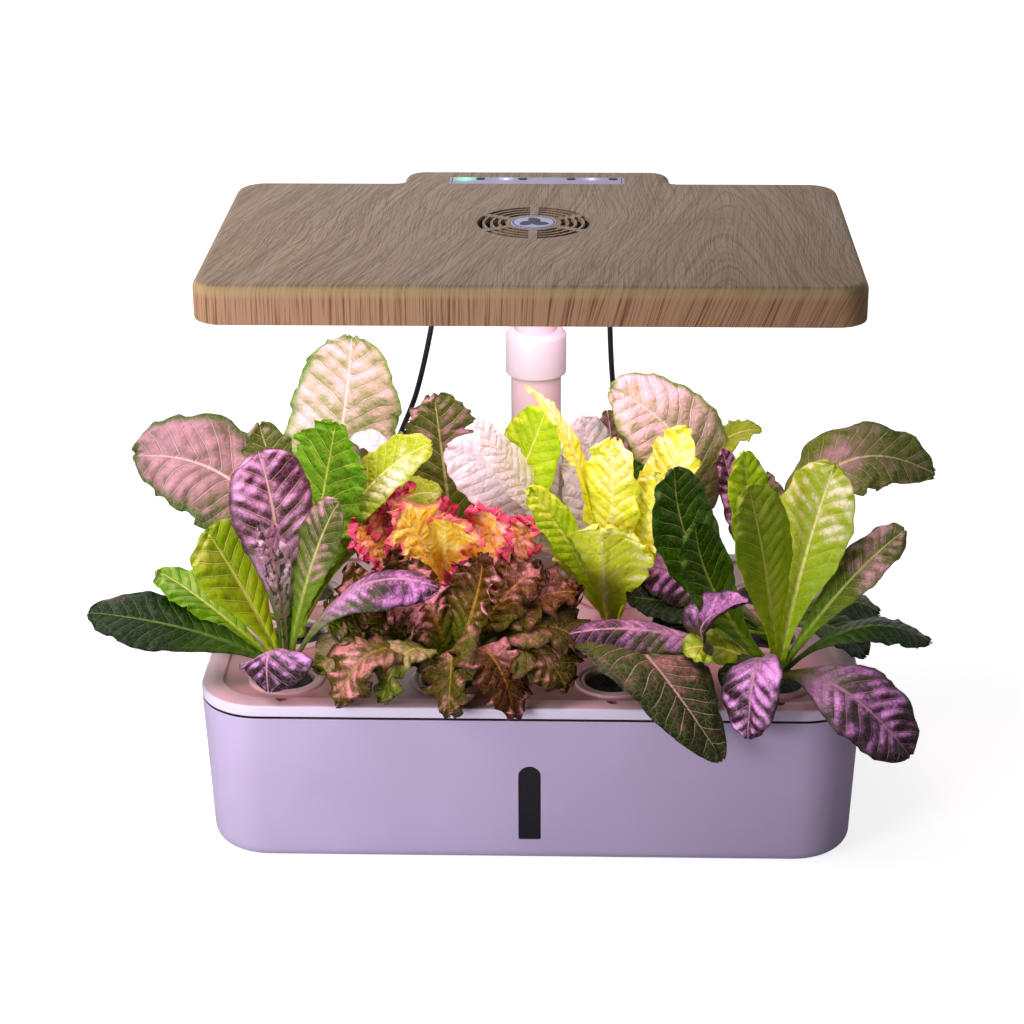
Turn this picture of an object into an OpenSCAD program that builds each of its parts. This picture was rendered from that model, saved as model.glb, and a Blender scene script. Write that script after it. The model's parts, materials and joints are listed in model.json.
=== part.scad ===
// Countertop hydroponic garden: a tapered water tank, a lift-off deck with twelve planting
// pods, eleven lettuces, a telescopic mast and a wood-grain lamp head with a fan and keys.
// Millimetres. The front faces -Y, Z is up, the origin is the middle of the tank's underside.

/* [Tank] */
// Width of the tank at its rim
tank_w = 400; // [385:5:440]
// Depth of the tank at its rim
tank_d = 234; // [226:2:260]
// Height of the tank without the deck
tank_h = 98; // [94:1:120]
// Wall thickness of the tank
tank_wall = 2.6; // [2:0.2:3.4]
// Plan radius of the tank's corners
tank_corner = 38; // [30:1:46]
// How far each side leans in between the rim and the floor
tank_taper = 3.5; // [2:0.5:6]
// Radius where the walls turn into the floor
tank_foot_r = 9; // [6:1:12]
// Thickness of the stiff rim at the top of the wall
rim_wall = 5.2; // [4.6:0.2:6]
// Height of the stiff rim
rim_h = 8; // [6:1:10]
// Radius of a rubber pad under the tank
pad_r = 8; // [6:0.5:10]
// Thickness of a rubber pad
pad_t = 1.2; // [0.8:0.2:1.6]

/* [Level window] */
// Width of the level window
window_w = 13.4; // [10:0.2:18]
// Height of the level window
window_h = 51; // [40:1:56]
// Height of the window's lower edge above the table
window_z = 15.5; // [14:0.5:20]
// Width of the gasket round the window
gasket_w = 3; // [2:0.5:4]
// Thickness of the gasket
gasket_t = 1.4; // [1:0.2:2]

/* [Deck] */
// Height of the deck's visible rim band
deck_rim = 6.8; // [6:0.2:8]
// Shadow gap between the tank and the rim band
seam_gap = 1.2; // [0.8:0.2:1.6]
// Thickness of the deck's panel
deck_t = 2.4; // [2:0.2:3]
// Drop from the rim to the deck's inner field
field_drop = 1.6; // [1:0.2:2]
// Width of the raised flange round the inner field
flange_w = 12.5; // [11:0.5:14]
// Depth of the skirt that reaches into the tank
skirt_h = 7; // [5:1:9]
// Chamfer along the deck's top edge
deck_chamfer = 1.2; // [0.8:0.2:1.6]

/* [Pods] */
// Distance between pods across the deck
pod_pitch_x = 99; // [96:1:101]
// Distance from the deck's front edge to the first row
pod_front = 41; // [39:1:42]
// Distance from the deck's back edge to the last row
pod_back = 67; // [66:1:70]
// Radius of a pod's hole through the deck
pod_bore_r = 18.6; // [17.5:0.1:19]
// Radius of the raised ring round a pod
pod_ring_r = 23; // [22.6:0.1:24]
// Radius of a basket's flange
basket_flange_r = 21.2; // [20.6:0.1:21.4]
// Height of a basket
basket_h = 50; // [40:1:54]
// Wall thickness of a basket
basket_wall = 1.4; // [1:0.1:1.8]
// Radius of a growing sponge at its top
sponge_r = 15.2; // [14:0.1:15.4]
// Height of a growing sponge
sponge_h = 32; // [26:1:36]

/* [Mast] */
// Distance from the mast's axis to the deck's back edge
mast_from_back = 29; // [28:1:34]
// Outer radius of the lower tube
tube_r = 16.2; // [15.6:0.1:16.6]
// Wall thickness of the lower tube
tube_wall = 1.2; // [1:0.1:1.4]
// Length of the lower tube above the deck
tube_h = 156; // [140:2:170]
// Outer radius of the sliding tube
inner_r = 13.1; // [12.4:0.1:13.3]
// Wall thickness of the sliding tube
inner_wall = 1.2; // [1:0.1:1.6]
// Outer radius of the lock collar
collar_r = 19.6; // [19.4:0.1:21]
// Height of the lock collar
collar_h = 29.5; // [28:0.5:32]
// How far the collar's foot sits below the top of the lower tube
collar_drop = 16; // [14:0.5:17]

/* [Lamp] */
// Width of the lamp head
lamp_w = 380; // [340:5:420]
// Depth of the lamp head without its rear bump
lamp_d = 225; // [215:5:240]
// Thickness of the lamp head
lamp_t = 23; // [23:0.5:28]
// Height of the lamp's underside above the deck
lamp_gap = 236; // [225:1:245]
// Plan radius of the lamp's corners
lamp_corner = 18; // [12:1:24]
// Rounding along the lamp's top edge
lamp_edge = 5; // [3:0.5:6]
// Wall thickness of the lamp's shell
lamp_wall = 2.4; // [2:0.2:2.8]
// Width of the rear bump
bump_w = 170; // [160:2:190]
// How far the bump stands out behind the lamp
bump_d = 29; // [27:1:34]
// How far the lamp reaches behind the mast's axis
lamp_behind = 25; // [25:1:28]

/* [Fan and controls] */
// Radius of the outermost slot in the fan guard
guard_r = 34; // [32.5:0.5:35]
// Rings of slots in the fan guard
guard_rings = 4; // [3:1:4]
// Distance between two rings of slots
guard_pitch = 4.7; // [4.4:0.1:4.8]
// Width of a slot
slot_w = 3; // [2.4:0.1:3.2]
// Number of bars across the fan guard
guard_bars = 6; // [4:1:8]
// Blades on the fan
fan_blades = 7; // [5:1:9]
// Radius of the fan badge
badge_r = 14; // [13:0.5:14.5]
// Length of the control strip
strip_w = 112; // [108:1:120]
// Depth of the control strip
strip_d = 16; // [15:0.5:18]
// Radius of a press key
key_r = 2.8; // [2.4:0.1:3]
// Travel of a press key
key_travel = 0.6; // [0.4:0.1:0.8]

/* [Leads] */
// Diameter of the leads
lead_dia = 3.6; // [3:0.1:4]
// Turns of the stored lead, side by side
coil_turns = 5; // [4:1:6]
// Layers of the stored lead
coil_layers = 2; // [1:1:3]
// Diameter of the coil at the middle of its turns
coil_dia = 39; // [36:1:44]

/* [Hidden] */
$fn = 48;
hull_fn = 28;
// Slack between pieces that slide, lift or turn past each other
gap = 0.3;
// Running clearance of the guide bush and the fan's shaft
run = 0.08;
// Overlap that joins two shapes of one piece
join = 0.4;
// Cut that runs past a face
past = 1;

// Levels
deck_top = tank_h + seam_gap + deck_rim;
field_z = deck_top - field_drop;
panel_z = field_z - deck_t;
lamp_z = deck_top + lamp_gap;
lamp_top = lamp_z + lamp_t;
tube_top = deck_top + tube_h;
collar_z = tube_top - collar_drop;
collar_top = collar_z + collar_h;

// Deck plan
pad_inset_x = 44;
pad_inset_y = 34;
skirt_inset = rim_wall + 0.6;
skirt_wall = 2.4;
ledge_inset = 2;
pod_x = [for (i = [-1.5:1:1.5]) i * pod_pitch_x];
pod_pitch_y = (tank_d - pod_front - pod_back) / 2;
pod_y = [for (i = [0:2]) pod_front - tank_d / 2 + i * pod_pitch_y];
flange_t = 1.5;
seat_z = field_z + field_drop - flange_t;
sponge_z = seat_z - 1;
vent_r = 3.4;
vent_y = 11 - tank_d / 2;

// Mast and lamp plan
mast_y = tank_d / 2 - mast_from_back;
foot_r = 25;
foot_t = 4;
foot_hub_h = 16;
pad_clear = 2;
// Height of the sliding tube's lower end above the deck, which its travel uses up
slide_z = 66;
bush_h = 18;
spigot_r = tube_r + 1.6;
spigot_h = 13;
nut_r = spigot_r + 2.2;
nut_h = 8;
lamp_back = mast_y + lamp_behind;
lamp_y = lamp_back - lamp_d / 2;
lamp_front = lamp_back - lamp_d;
bump_back = lamp_back + bump_d;
bump_corner = 13;
bump_fillet = 6;
tray_t = 2;
tray_gap = 0.2;
top_z = lamp_top - lamp_wall;
tray_top = lamp_z + tray_t;

// Light panel
panel_front = 17;
panel_back = mast_y - 26;
panel_y = (lamp_front + panel_front + panel_back) / 2;
panel_d = panel_back - lamp_front - panel_front;
panel_w = lamp_w - 42;
lens_t = 1.6;
board_t = 1.2;
chip_t = 0.8;
board_z = tray_top + lens_t + chip_t + 0.2;
chip_rows = 6;
chip_cols = 12;
outlet_r = 30;

// Fan
fan_y = lamp_y + 19;
fan_half = 36;
fan_t = 10;
fan_gap = 0.6;
fan_top = top_z - fan_gap;
fan_z = fan_top - fan_t;
fan_bore_r = 33.4;
hub_r = 14;
blade_r = fan_bore_r - 1.2;
shaft_r = 1.5;

// Controls
strip_y = lamp_back + 4;
strip_t = 1.2;
key_y = strip_y + 4.5;
key_x = [-36, -9, 22, 49];
light_x = [-46, -20, 35];
control_z = top_z - 8;
light_r = 1.3;
badge_t = 1;

// Fasteners of the lamp
screw_r = 1.5;
screw_grip = 9;
post_r = 3.6;
screw_places = concat(
    [for (x = [-1, 1], y = [lamp_front + 9, lamp_back - 9]) [x * (lamp_w / 2 - 12), y]],
    [[0, lamp_front + 9]],
    [for (x = [-1, 1]) [x * (bump_w / 2 - 8), bump_back - 9]]
);

// Leads and pump
gland_y = lamp_back + 17;
gland_x = [-66, 50];
gland_h = 22;
gland_neck_r = 4;
clip_x = -88;
clip_y = tank_d / 2 + 7.5;
plug_r = 5;
grommet = [46, mast_y + 9];
pump_y = -2;
pump_w = 40;
pump_d = 44;
pump_top = panel_z - 50;
pump_h = 25;
chamber_r = 14;
lead_r = lead_dia / 2;
lead_sides = 8;
lead_floor = lead_r + 0.2;
coil_x = -62;
coil_y = tank_d / 2 + 79;
coil_band = coil_turns * lead_dia;
coil_in = coil_dia / 2 - coil_band / 2;
coil_out = coil_dia / 2 + coil_band / 2;
coil_h = coil_layers * lead_dia;
adapter_x = -11;
adapter_y = tank_d / 2 + 73;
adapter = [34, 60, 30];
adapter_exit = 9;

// Routes of the leads, from each gland to where the lead ends
pigtail_route = [
    [gland_x[0], gland_y, lamp_z - gland_h],
    [gland_x[0], gland_y, lamp_z - gland_h - 6],
    [-67, gland_y + 1, lamp_z - 50],
    [-70, gland_y + 3, lamp_z - 79],
    [-81, gland_y + 5, lamp_z - 127],
    [-95, gland_y + 8, lamp_z - 165],
    [-100, gland_y + 6, lamp_z - 195],
    [-92, gland_y - 3, lamp_z - 216],
    [clip_x, clip_y, deck_top + 11],
    [clip_x, clip_y, deck_top + 6]
];
pump_route = [
    [gland_x[1], gland_y, lamp_z - gland_h],
    [gland_x[1], gland_y, lamp_z - gland_h - 6],
    [49, gland_y + 1, lamp_z - 50],
    [48, gland_y + 3, lamp_z - 79],
    [51, gland_y + 7, lamp_z - 127],
    [58, gland_y + 10, lamp_z - 165],
    [60, gland_y + 2, lamp_z - 195],
    [52, gland_y - 20, lamp_z - 214],
    [grommet[0], grommet[1], deck_top + 6],
    [grommet[0], grommet[1], panel_z - 6],
    [38, grommet[1] - 6, panel_z - 24],
    [22, mast_y - 12, panel_z - 32],
    [8, mast_y - 34, panel_z - 40],
    [0, pump_y + 32, pump_top - 10],
    [0, pump_y + pump_d / 2, pump_top - 10]
];
adapter_route = [
    [clip_x, clip_y, deck_top - 46],
    [clip_x, clip_y, deck_top - 52],
    [clip_x, clip_y + 1, 36],
    [clip_x, clip_y + 5, 14],
    [clip_x, clip_y + 17, lead_floor + 1],
    [clip_x - 1, clip_y + 32, lead_floor],
    [coil_x - coil_out + lead_r, coil_y - 24, lead_floor],
    [coil_x - coil_out + lead_r, coil_y - 9, lead_floor]
];
tail_route = [
    [coil_x + coil_out - lead_r, coil_y - 9, lead_floor],
    [coil_x + coil_out - lead_r, coil_y - 22, lead_floor],
    [coil_x + coil_out + 4, coil_y - 34, lead_floor + 1],
    [adapter_x - 5, coil_y - 38, adapter_exit - 4],
    [adapter_x, coil_y - 29, adapter_exit],
    [adapter_x, adapter_y - 12, adapter_exit]
];

// Leaves. Each leaf is [tip, bend, width, cup, roll], and a shape where it differs from its
// plant's. The tip and the bend that draws the midrib's curve are measured from the crown;
// cup and roll are in degrees.
leaf_t = 1.4;
leaf_stations = [0, 0.26, 0.56, 0.84, 1];
spoon = [0.16, 0.28, 0.88, 0.92, 0.3];
round_leaf = [0.12, 0.34, 0.96, 0.92, 0.36];
frilled = [0.2, 0.44, 0.92, 1, 0.5];
paddle = [0.14, 0.2, 0.7, 1, 0.42];
pointed = [0.12, 0.7, 1, 0.5, 0.1];
crown_r = 5;
crown_h = 7;
leaf_foot = 5;
// Distance between rows that the leaves' numbers are drawn for
leaf_pitch_y = 63;
front_left_leaves = [
    [[-118, -4, 41], [-39, -10, 36], 50, 8, -25, paddle],
    [[-80, 24, 56], [-54, 16, 46], 36, 10, -5],
    [[-46, 6, 91], [-31, 5, 68], 56, 10, -30],
    [[-15, 26, 134], [-2, 19, 95], 56, 8, 0],
    [[-13, -2, 97], [0, 5, 73], 26, 12, -40],
    [[34, 14, 107], [15, 13, 77], 36, 12, 25],
    [[94, -4, 59], [36, -2, 83], 36, -22, 20],
    [[-7, -38, 6], [-9, -33, 51], 60, -12, 20, paddle]
];
middle_left_leaves = [
    [[86, 10, 122], [29, 7, 99], 40, 10, 30],
    [[26, 22, 131], [17, 17, 83], 70, 8, 10],
    [[15, 32, 92], [40, 24, 79], 28, 10, -10],
    [[90, 22, 83], [52, 17, 96], 34, 12, 20],
    [[-50, -30, 4], [-31, -17, 32], 30, 12, -5],
    [[3, -6, 50], [5, -1, 23], 28, 12, 15]
];
back_left_leaves = [
    [[-109, -4, 93], [-34, 2, 99], 76, 6, -45],
    [[-32, 28, 104], [-18, 14, 60], 46, 10, -10],
    [[29, 44, 159], [24, 30, 87], 80, 6, 20],
    [[-57, -14, 52], [-29, -1, 45], 40, 10, -35]
];
bronze_frilled_leaves = [
    [[-39, 4, 41], [-10, 2, 47], 42, 12, -20],
    [[-79, -16, 11], [-50, -12, 35], 42, 10, -15],
    [[-64, -44, 1], [-47, -34, 58], 40, 10, -10],
    [[-38, -42, 2], [-22, -31, 56], 34, 10, 0],
    [[2, -51, -2], [6, -30, 58], 42, 10, 40],
    [[41, -50, -3], [27, -31, 58], 46, 10, -5],
    [[71, -34, 7], [54, -20, 50], 42, 10, 20],
    [[83, -6, 20], [59, -9, 58], 38, 12, 15],
    [[78, 18, 46], [44, 11, 57], 44, 12, 15],
    [[55, 22, 61], [34, 13, 55], 42, 12, 15],
    [[21, 10, 74], [20, 7, 48], 36, 15, 20],
    [[-20, 12, 41], [-8, 6, 49], 44, 12, -10]
];
red_frilled_leaves = [
    [[-62, -8, 75], [-38, -9, 61], 40, 12, -35],
    [[-53, 10, 83], [-26, 7, 62], 42, 12, -30],
    [[-35, 18, 88], [-21, 11, 62], 46, 12, -15],
    [[-34, -14, 86], [-11, -9, 62], 50, 14, -60],
    [[-4, -10, 81], [-6, -7, 58], 46, 12, -5],
    [[-20, 26, 78], [-9, 15, 56], 42, 12, 5],
    [[29, -4, 82], [18, -2, 51], 46, 12, 55],
    [[50, 6, 70], [32, 5, 47], 42, 12, 35],
    [[14, -34, 63], [7, -27, 35], 40, 12, 5],
    [[-40, -26, 59], [-28, -19, 39], 36, 12, -60]
];
back_centre_leaves = [
    [[-16, 22, 127], [-10, 13, 80], 62, 10, 0],
    [[57, -6, 128], [41, -5, 76], 56, 8, 55],
    [[-37, 8, 106], [-19, 8, 53], 36, 10, -30],
    [[-71, 20, 95], [-36, 14, 115], 30, 10, -15]
];
yellow_leaves = [
    [[-7, -18, 78], [-7, -15, 42], 62, 10, 10],
    [[0, 10, 125], [-1, 7, 71], 44, 12, -35],
    [[28, -2, 107], [20, -3, 66], 36, 14, 50],
    [[-53, 40, 148], [-12, 20, 123], 26, 8, 20],
    [[-52, -16, 103], [-22, -16, 66], 28, 12, -55],
    [[45, 22, 128], [32, 17, 87], 44, 12, 15],
    [[64, -128, -23], [14, -112, 54], 84, 6, -10, pointed]
];
back_right_leaves = [
    [[-105, -20, 107], [-52, -18, 77], 54, 8, -60],
    [[-86, -31, 129], [-69, -32, 98], 32, 8, -45],
    [[-20, 8, 118], [-11, 4, 64], 52, 10, -30],
    [[-3, 36, 111], [5, 22, 69], 34, 10, -40],
    [[10, 26, 99], [11, 15, 59], 34, 10, -15],
    [[97, 34, 99], [58, 35, 105], 34, 10, 5, frilled],
    [[-33, -8, 97], [-40, -8, 52], 34, 10, -60],
    [[-2, 0, 140], [101, 8, 85], 76, 6, -50]
];
far_right_leaves = [
    [[106, -4, 84], [29, -2, 130], 56, 8, 35],
    [[-29, 8, 96], [-15, 4, 49], 30, 12, -30],
    [[0, 20, 75], [3, 10, 41], 38, 12, -35]
];
middle_right_leaves = [
    [[69, 4, 12], [43, 2, 35], 34, -12, 20],
    [[57, -36, 1], [33, -26, 32], 30, 12, 10],
    [[-83, 2, 45], [-42, -1, 48], 44, -20, -25],
    [[-90, -14, 30], [-46, -9, 24], 38, 12, -25],
    [[-20, 4, 120], [-10, 2, 58], 34, 12, -45],
    [[-74, -24, 11], [-44, -20, 17], 42, 10, -20]
];
front_right_leaves = [
    [[-63, 24, 126], [-65, 20, 69], 52, 10, -25],
    [[-51, 6, 98], [-49, 5, 54], 44, 12, -35],
    [[-21, -2, 125], [-6, -3, 70], 46, 14, -55],
    [[32, 22, 130], [16, 17, 80], 56, 10, 15],
    [[73, 2, 96], [38, -1, 68], 36, 12, 25],
    [[91, -4, 26], [47, -6, 57], 26, -12, 15],
    [[76, -54, -25], [32, -41, 31], 54, 8, 20],
    [[-20, -58, -12], [-18, -43, 60], 46, 8, 20, paddle],
    [[-32, -26, 4], [-18, -19, 34], 26, 12, 0],
    [[-19, -20, 59], [-81, -18, 39], 34, -18, -25],
    [[-141, -8, 26], [-77, -8, 52], 34, -22, -20],
    [[-57, -14, 24], [-34, -13, 33], 30, 8, -20]
];

// ---- Shared shapes ----

// Flat rounded rectangle, centred
module rounded(w, d, r) {
    square([w - 2 * r, d], center = true);
    square([w, d - 2 * r], center = true);
    for (x = [-1, 1], y = [-1, 1])
        translate([x * (w / 2 - r), y * (d / 2 - r)]) circle(r);
}

// Rounded plate from z up, pulled in from the outline by inset
module plate(w, d, r, z, h, inset = 0) {
    translate([0, 0, z])
        linear_extrude(h)
            rounded(w - 2 * inset, d - 2 * inset, r - inset * 0.7);
}

// Round bar or disc between two heights
module disc(r, z0, z1, x = 0, y = 0) {
    translate([x, y, z0]) cylinder(r = r, h = z1 - z0);
}

// Round tube between two heights
module ring(r_out, r_in, z0, z1, x = 0, y = 0) {
    difference() {
        disc(r_out, z0, z1, x, y);
        disc(r_in, z0 - past, z1 + past, x, y);
    }
}

// Tapered tub with a rounded foot
module tub(inset, z0, z1) {
    lean = tank_taper * (1 - z0 / tank_h);
    fillet = max(tank_foot_r - inset, 2);
    hull() {
        for (a = [0:30:90])
            plate(tank_w, tank_d, tank_corner, z0 + fillet * (1 - cos(a)), 0.01,
                inset + lean + fillet * (1 - sin(a)), $fn = hull_fn);
        plate(tank_w, tank_d, tank_corner, z1 - 0.01, 0.01, inset, $fn = hull_fn);
    }
}

// Everything that stands at a pod
module at_pods() {
    for (x = pod_x, y = pod_y)
        translate([x, y, 0]) children();
}

// ---- Leads ----

function unit(v) = v / norm(v);

// Point on the smooth curve through four neighbours
function curve(p0, p1, p2, p3, t) = 0.5 * (
    2 * p1 + (p2 - p0) * t
    + (2 * p0 - 5 * p1 + 4 * p2 - p3) * t * t
    + (3 * p1 - p0 - 3 * p2 + p3) * t * t * t
);

// Evenly stepped points along a route
function along(route, step) = [
    for (i = [0:len(route) - 2])
        let (
            n = max(1, round(norm(route[i + 1] - route[i]) / step)),
            before = route[max(i - 1, 0)],
            after = route[min(i + 2, len(route) - 1)]
        )
        for (k = [0:n - 1]) curve(before, route[i], route[i + 1], after, k / n),
    route[len(route) - 1]
];

// Direction of travel at each point
function heading_at(points, i) =
    unit(points[min(i + 1, len(points) - 1)] - points[max(i - 1, 0)]);

// Side vectors carried along without twist
function sides_along(points, i = 0, side = [0.31, 0.95, 0.07]) =
    i == len(points) ? [] :
    let (t = heading_at(points, i), s = unit(side - (side * t) * t))
    concat([s], sides_along(points, i + 1, s));

// One lead swept along its route
module lead(route, step = 10.5) {
    points = along(route, step);
    sides = sides_along(points);
    last = len(points) - 1;
    rings = [
        for (i = [0:last])
            let (t = heading_at(points, i), s = sides[i], u = cross(t, s))
            for (k = [0:lead_sides - 1])
                let (a = k * 360 / lead_sides)
                points[i] + lead_r * (cos(a) * s + sin(a) * u)
    ];
    skin = [
        for (i = [0:last - 1], k = [0:lead_sides - 1])
            let (n = (k + 1) % lead_sides, low = i * lead_sides, up = low + lead_sides)
            [low + k, up + k, up + n, low + n]
    ];
    first_cap = [for (k = [0:lead_sides - 1]) k];
    last_cap = [for (k = [lead_sides - 1:-1:0]) last * lead_sides + k];
    polyhedron(points = rings, faces = concat([first_cap], skin, [last_cap]));
}

// ---- Leaves ----

// Point on a leaf's midrib, and the way the midrib runs there
function rib_at(l, s) = 2 * s * (1 - s) * l[1] + s * s * l[0];
function rib_dir(l, s) = unit((1 - s) * l[1] + s * (l[0] - l[1]));

// Level direction across the midrib
function rib_level(l, t) =
    let (v = [-l[0][1], l[0][0], 0])
    unit(v - (v * t) * t);

// A leaf's own shape, or its plant's
function shape_of(l, form) = is_undef(l[5]) ? form : l[5];

// Half of a leaf's cross-section, from the midrib out to one margin
module leaf_rib(l, form, i, side) {
    middle = rib_at(l, leaf_stations[i]);
    ahead = rib_dir(l, leaf_stations[i]);
    level = rib_level(l, ahead);
    across = cos(l[4]) * level + sin(l[4]) * cross(ahead, level);
    face = cross(ahead, across);
    half = form[i] * l[2] / 2;
    margin = middle + half * (side * cos(l[3]) * across + sin(l[3]) * face);
    t = face * leaf_t / 2;
    polyhedron(points = [middle - t, middle + t, margin + t, margin - t], faces = [[0, 1, 2, 3]]);
}

module leaf(l, form) {
    for (side = [-1, 1], i = [0:len(leaf_stations) - 2])
        hull() {
            leaf_rib(l, form, i, side);
            leaf_rib(l, form, i + 1, side);
        }
}

// One lettuce, rooted on the sponge of a pod
module lettuce(column, row, leaves, form) {
    translate([pod_x[column], pod_y[row], sponge_z]) {
        cylinder(r = crown_r, h = crown_h, $fn = 10);
        translate([0, 0, leaf_foot])
            scale([1, pod_pitch_y / leaf_pitch_y, 1])
                for (l = leaves) leaf(l, shape_of(l, form));
    }
}

// ---- Tank ----

module window_column(grow, y0, y1) {
    translate([0, y1, 0])
        rotate([90, 0, 0])
            linear_extrude(y1 - y0) {
                translate([-window_w / 2 - grow, window_z - grow])
                    square([window_w + 2 * grow, window_h - window_w / 2 + grow]);
                translate([0, window_z + window_h - window_w / 2])
                    circle(window_w / 2 + grow);
            }
}

// Four round pads under the floor, reaching below it by drop
module pads(drop) {
    for (x = [-1, 1], y = [-1, 1])
        disc(pad_r, -drop, pad_t, x * (tank_w / 2 - pad_inset_x), y * (tank_d / 2 - pad_inset_y));
}

module tank_shell() {
    color("white")
        difference() {
            tub(0, 0, tank_h);
            tub(tank_wall, tank_wall, tank_h - rim_h + past);
            plate(tank_w, tank_d, tank_corner, tank_h - rim_h, rim_h + past, rim_wall);
            window_column(0, -tank_d, -tank_d / 4);
            pads(past);
        }
}

module level_window() {
    color("black")
        difference() {
            intersection() {
                tub(0, 0, tank_h);
                window_column(0, -tank_d, -tank_d / 4);
            }
            tub(tank_wall, tank_wall, tank_h);
        }
}

// Flat gasket that seals the window from inside, on the wall's own lean
module window_gasket() {
    inside = tank_wall + tank_taper * (1 - (window_z + window_h / 2) / tank_h) + 0.3;
    lean = atan(tank_taper / tank_h);
    color("dimgray")
        translate([0, inside - tank_d / 2, window_z + window_h / 2])
            rotate([lean, 0, 0])
                translate([0, 0, -window_z - window_h / 2])
                    difference() {
                        window_column(gasket_w, 0, gasket_t);
                        window_column(0, -past, gasket_t + past);
                    }
}

module tank_pads() {
    color("gray") pads(0);
}

// ---- Deck ----

module deck_panel() {
    color("white")
        difference() {
            union() {
                hull() {
                    plate(tank_w, tank_d, tank_corner, tank_h + seam_gap,
                        deck_rim - deck_chamfer, $fn = hull_fn);
                    plate(tank_w, tank_d, tank_corner, deck_top - 0.01, 0.01,
                        deck_chamfer, $fn = hull_fn);
                }
                plate(tank_w, tank_d, tank_corner, tank_h + gap, seam_gap - gap + join, ledge_inset);
                plate(tank_w, tank_d, tank_corner, tank_h - skirt_h, skirt_h + seam_gap + join,
                    skirt_inset);
                lead_clip();
            }
            plate(tank_w, tank_d, tank_corner, tank_h - skirt_h - past,
                skirt_h + panel_z - tank_h + past, skirt_inset + skirt_wall);
            difference() {
                plate(tank_w, tank_d, tank_corner, field_z, field_drop + past, flange_w);
                at_pods() disc(pod_ring_r, field_z - past, deck_top + 2 * past);
                disc(foot_r + pad_clear, field_z - past, deck_top + 2 * past, 0, mast_y);
            }
            at_pods() {
                disc(pod_bore_r, panel_z - past, deck_top + past);
                disc(basket_flange_r + gap / 2, seat_z, deck_top + past);
            }
            for (x = pod_x)
                disc(vent_r, panel_z - past, deck_top + past, x, vent_y);
            disc(spigot_r + gap / 2, panel_z - past, deck_top + past, 0, mast_y);
            disc(lead_r + 2, panel_z - past, deck_top + past, grommet[0], grommet[1]);
            disc(plug_r + 0.1, tank_h, deck_top + past, clip_x, clip_y);
        }
}

// Open clip on the deck's back edge that holds the lamp's connector
module lead_clip() {
    z0 = tank_h + seam_gap;
    difference() {
        union() {
            disc(plug_r + 2.4, z0, deck_top - deck_chamfer, clip_x, clip_y);
            translate([clip_x - 3.5, tank_d / 2 - 2, z0])
                cube([7, clip_y - tank_d / 2, deck_top - deck_chamfer - z0]);
        }
        translate([clip_x - 3.6, clip_y, z0 - past])
            cube([7.2, plug_r + 4, deck_rim + 2 * past]);
    }
}

// Twelve net baskets, each with slots down its side and an open bottom
module baskets() {
    top_r = pod_bore_r - gap;
    base_r = top_r - 4;
    base_z = deck_top - basket_h;
    color("gainsboro")
        at_pods()
            difference() {
                rotate_extrude()
                    polygon([
                        [top_r - basket_wall, deck_top - 1], [basket_flange_r - 1, deck_top],
                        [basket_flange_r, deck_top - 0.6], [basket_flange_r, seat_z],
                        [top_r, seat_z], [base_r, base_z], [base_r - 4, base_z],
                        [base_r - 4, base_z + basket_wall], [base_r - basket_wall, base_z + basket_wall]
                    ]);
                for (a = [0, 90])
                    rotate(a)
                        translate([-2.5, -top_r - past, base_z + 6])
                            cube([5, 2 * top_r + 2 * past, basket_h - 24]);
            }
}

module grow_sponges() {
    color("black")
        at_pods()
            translate([0, 0, sponge_z - sponge_h])
                cylinder(r1 = sponge_r - 2.5, r2 = sponge_r, h = sponge_h);
}

// ---- Lettuces ----

module front_left_romaine() {
    color("darkgreen") lettuce(0, 0, front_left_leaves, spoon);
}

module middle_left_lettuce() {
    color("yellowgreen") lettuce(0, 1, middle_left_leaves, spoon);
}

module back_left_lettuce() {
    color("darkseagreen") lettuce(0, 2, back_left_leaves, round_leaf);
}

module bronze_frilled_lettuce() {
    color("saddlebrown") lettuce(1, 0, bronze_frilled_leaves, frilled);
}

module red_frilled_lettuce() {
    color("indianred") lettuce(1, 1, red_frilled_leaves, frilled);
}

module back_centre_lettuce() {
    color("olivedrab") lettuce(1, 2, back_centre_leaves, round_leaf);
}

module yellow_romaine() {
    color("greenyellow") lettuce(2, 1, yellow_leaves, spoon);
}

module back_right_lettuce() {
    color("darkseagreen") lettuce(2, 2, back_right_leaves, round_leaf);
}

module far_right_lettuce() {
    color("rosybrown") lettuce(3, 2, far_right_leaves, round_leaf);
}

module middle_right_lettuce() {
    color("purple") lettuce(3, 1, middle_right_leaves, spoon);
}

module front_right_romaine() {
    color("forestgreen") lettuce(3, 0, front_right_leaves, spoon);
}

// ---- Mast ----

module pole_foot() {
    color("white")
        difference() {
            union() {
                disc(foot_r, deck_top, deck_top + foot_t, 0, mast_y);
                disc(tube_r + 3, deck_top, deck_top + foot_hub_h, 0, mast_y);
                disc(spigot_r, deck_top - spigot_h, deck_top + join, 0, mast_y);
            }
            disc(tube_r, deck_top, deck_top + foot_hub_h + past, 0, mast_y);
            disc(inner_r + 1, deck_top - spigot_h - past, deck_top + past, 0, mast_y);
        }
}

module pole_nut() {
    color("white")
        ring(nut_r, spigot_r, panel_z - nut_h, panel_z, 0, mast_y);
}

module outer_pole() {
    color("thistle")
        ring(tube_r, tube_r - tube_wall, deck_top, tube_top, 0, mast_y);
}

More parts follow.
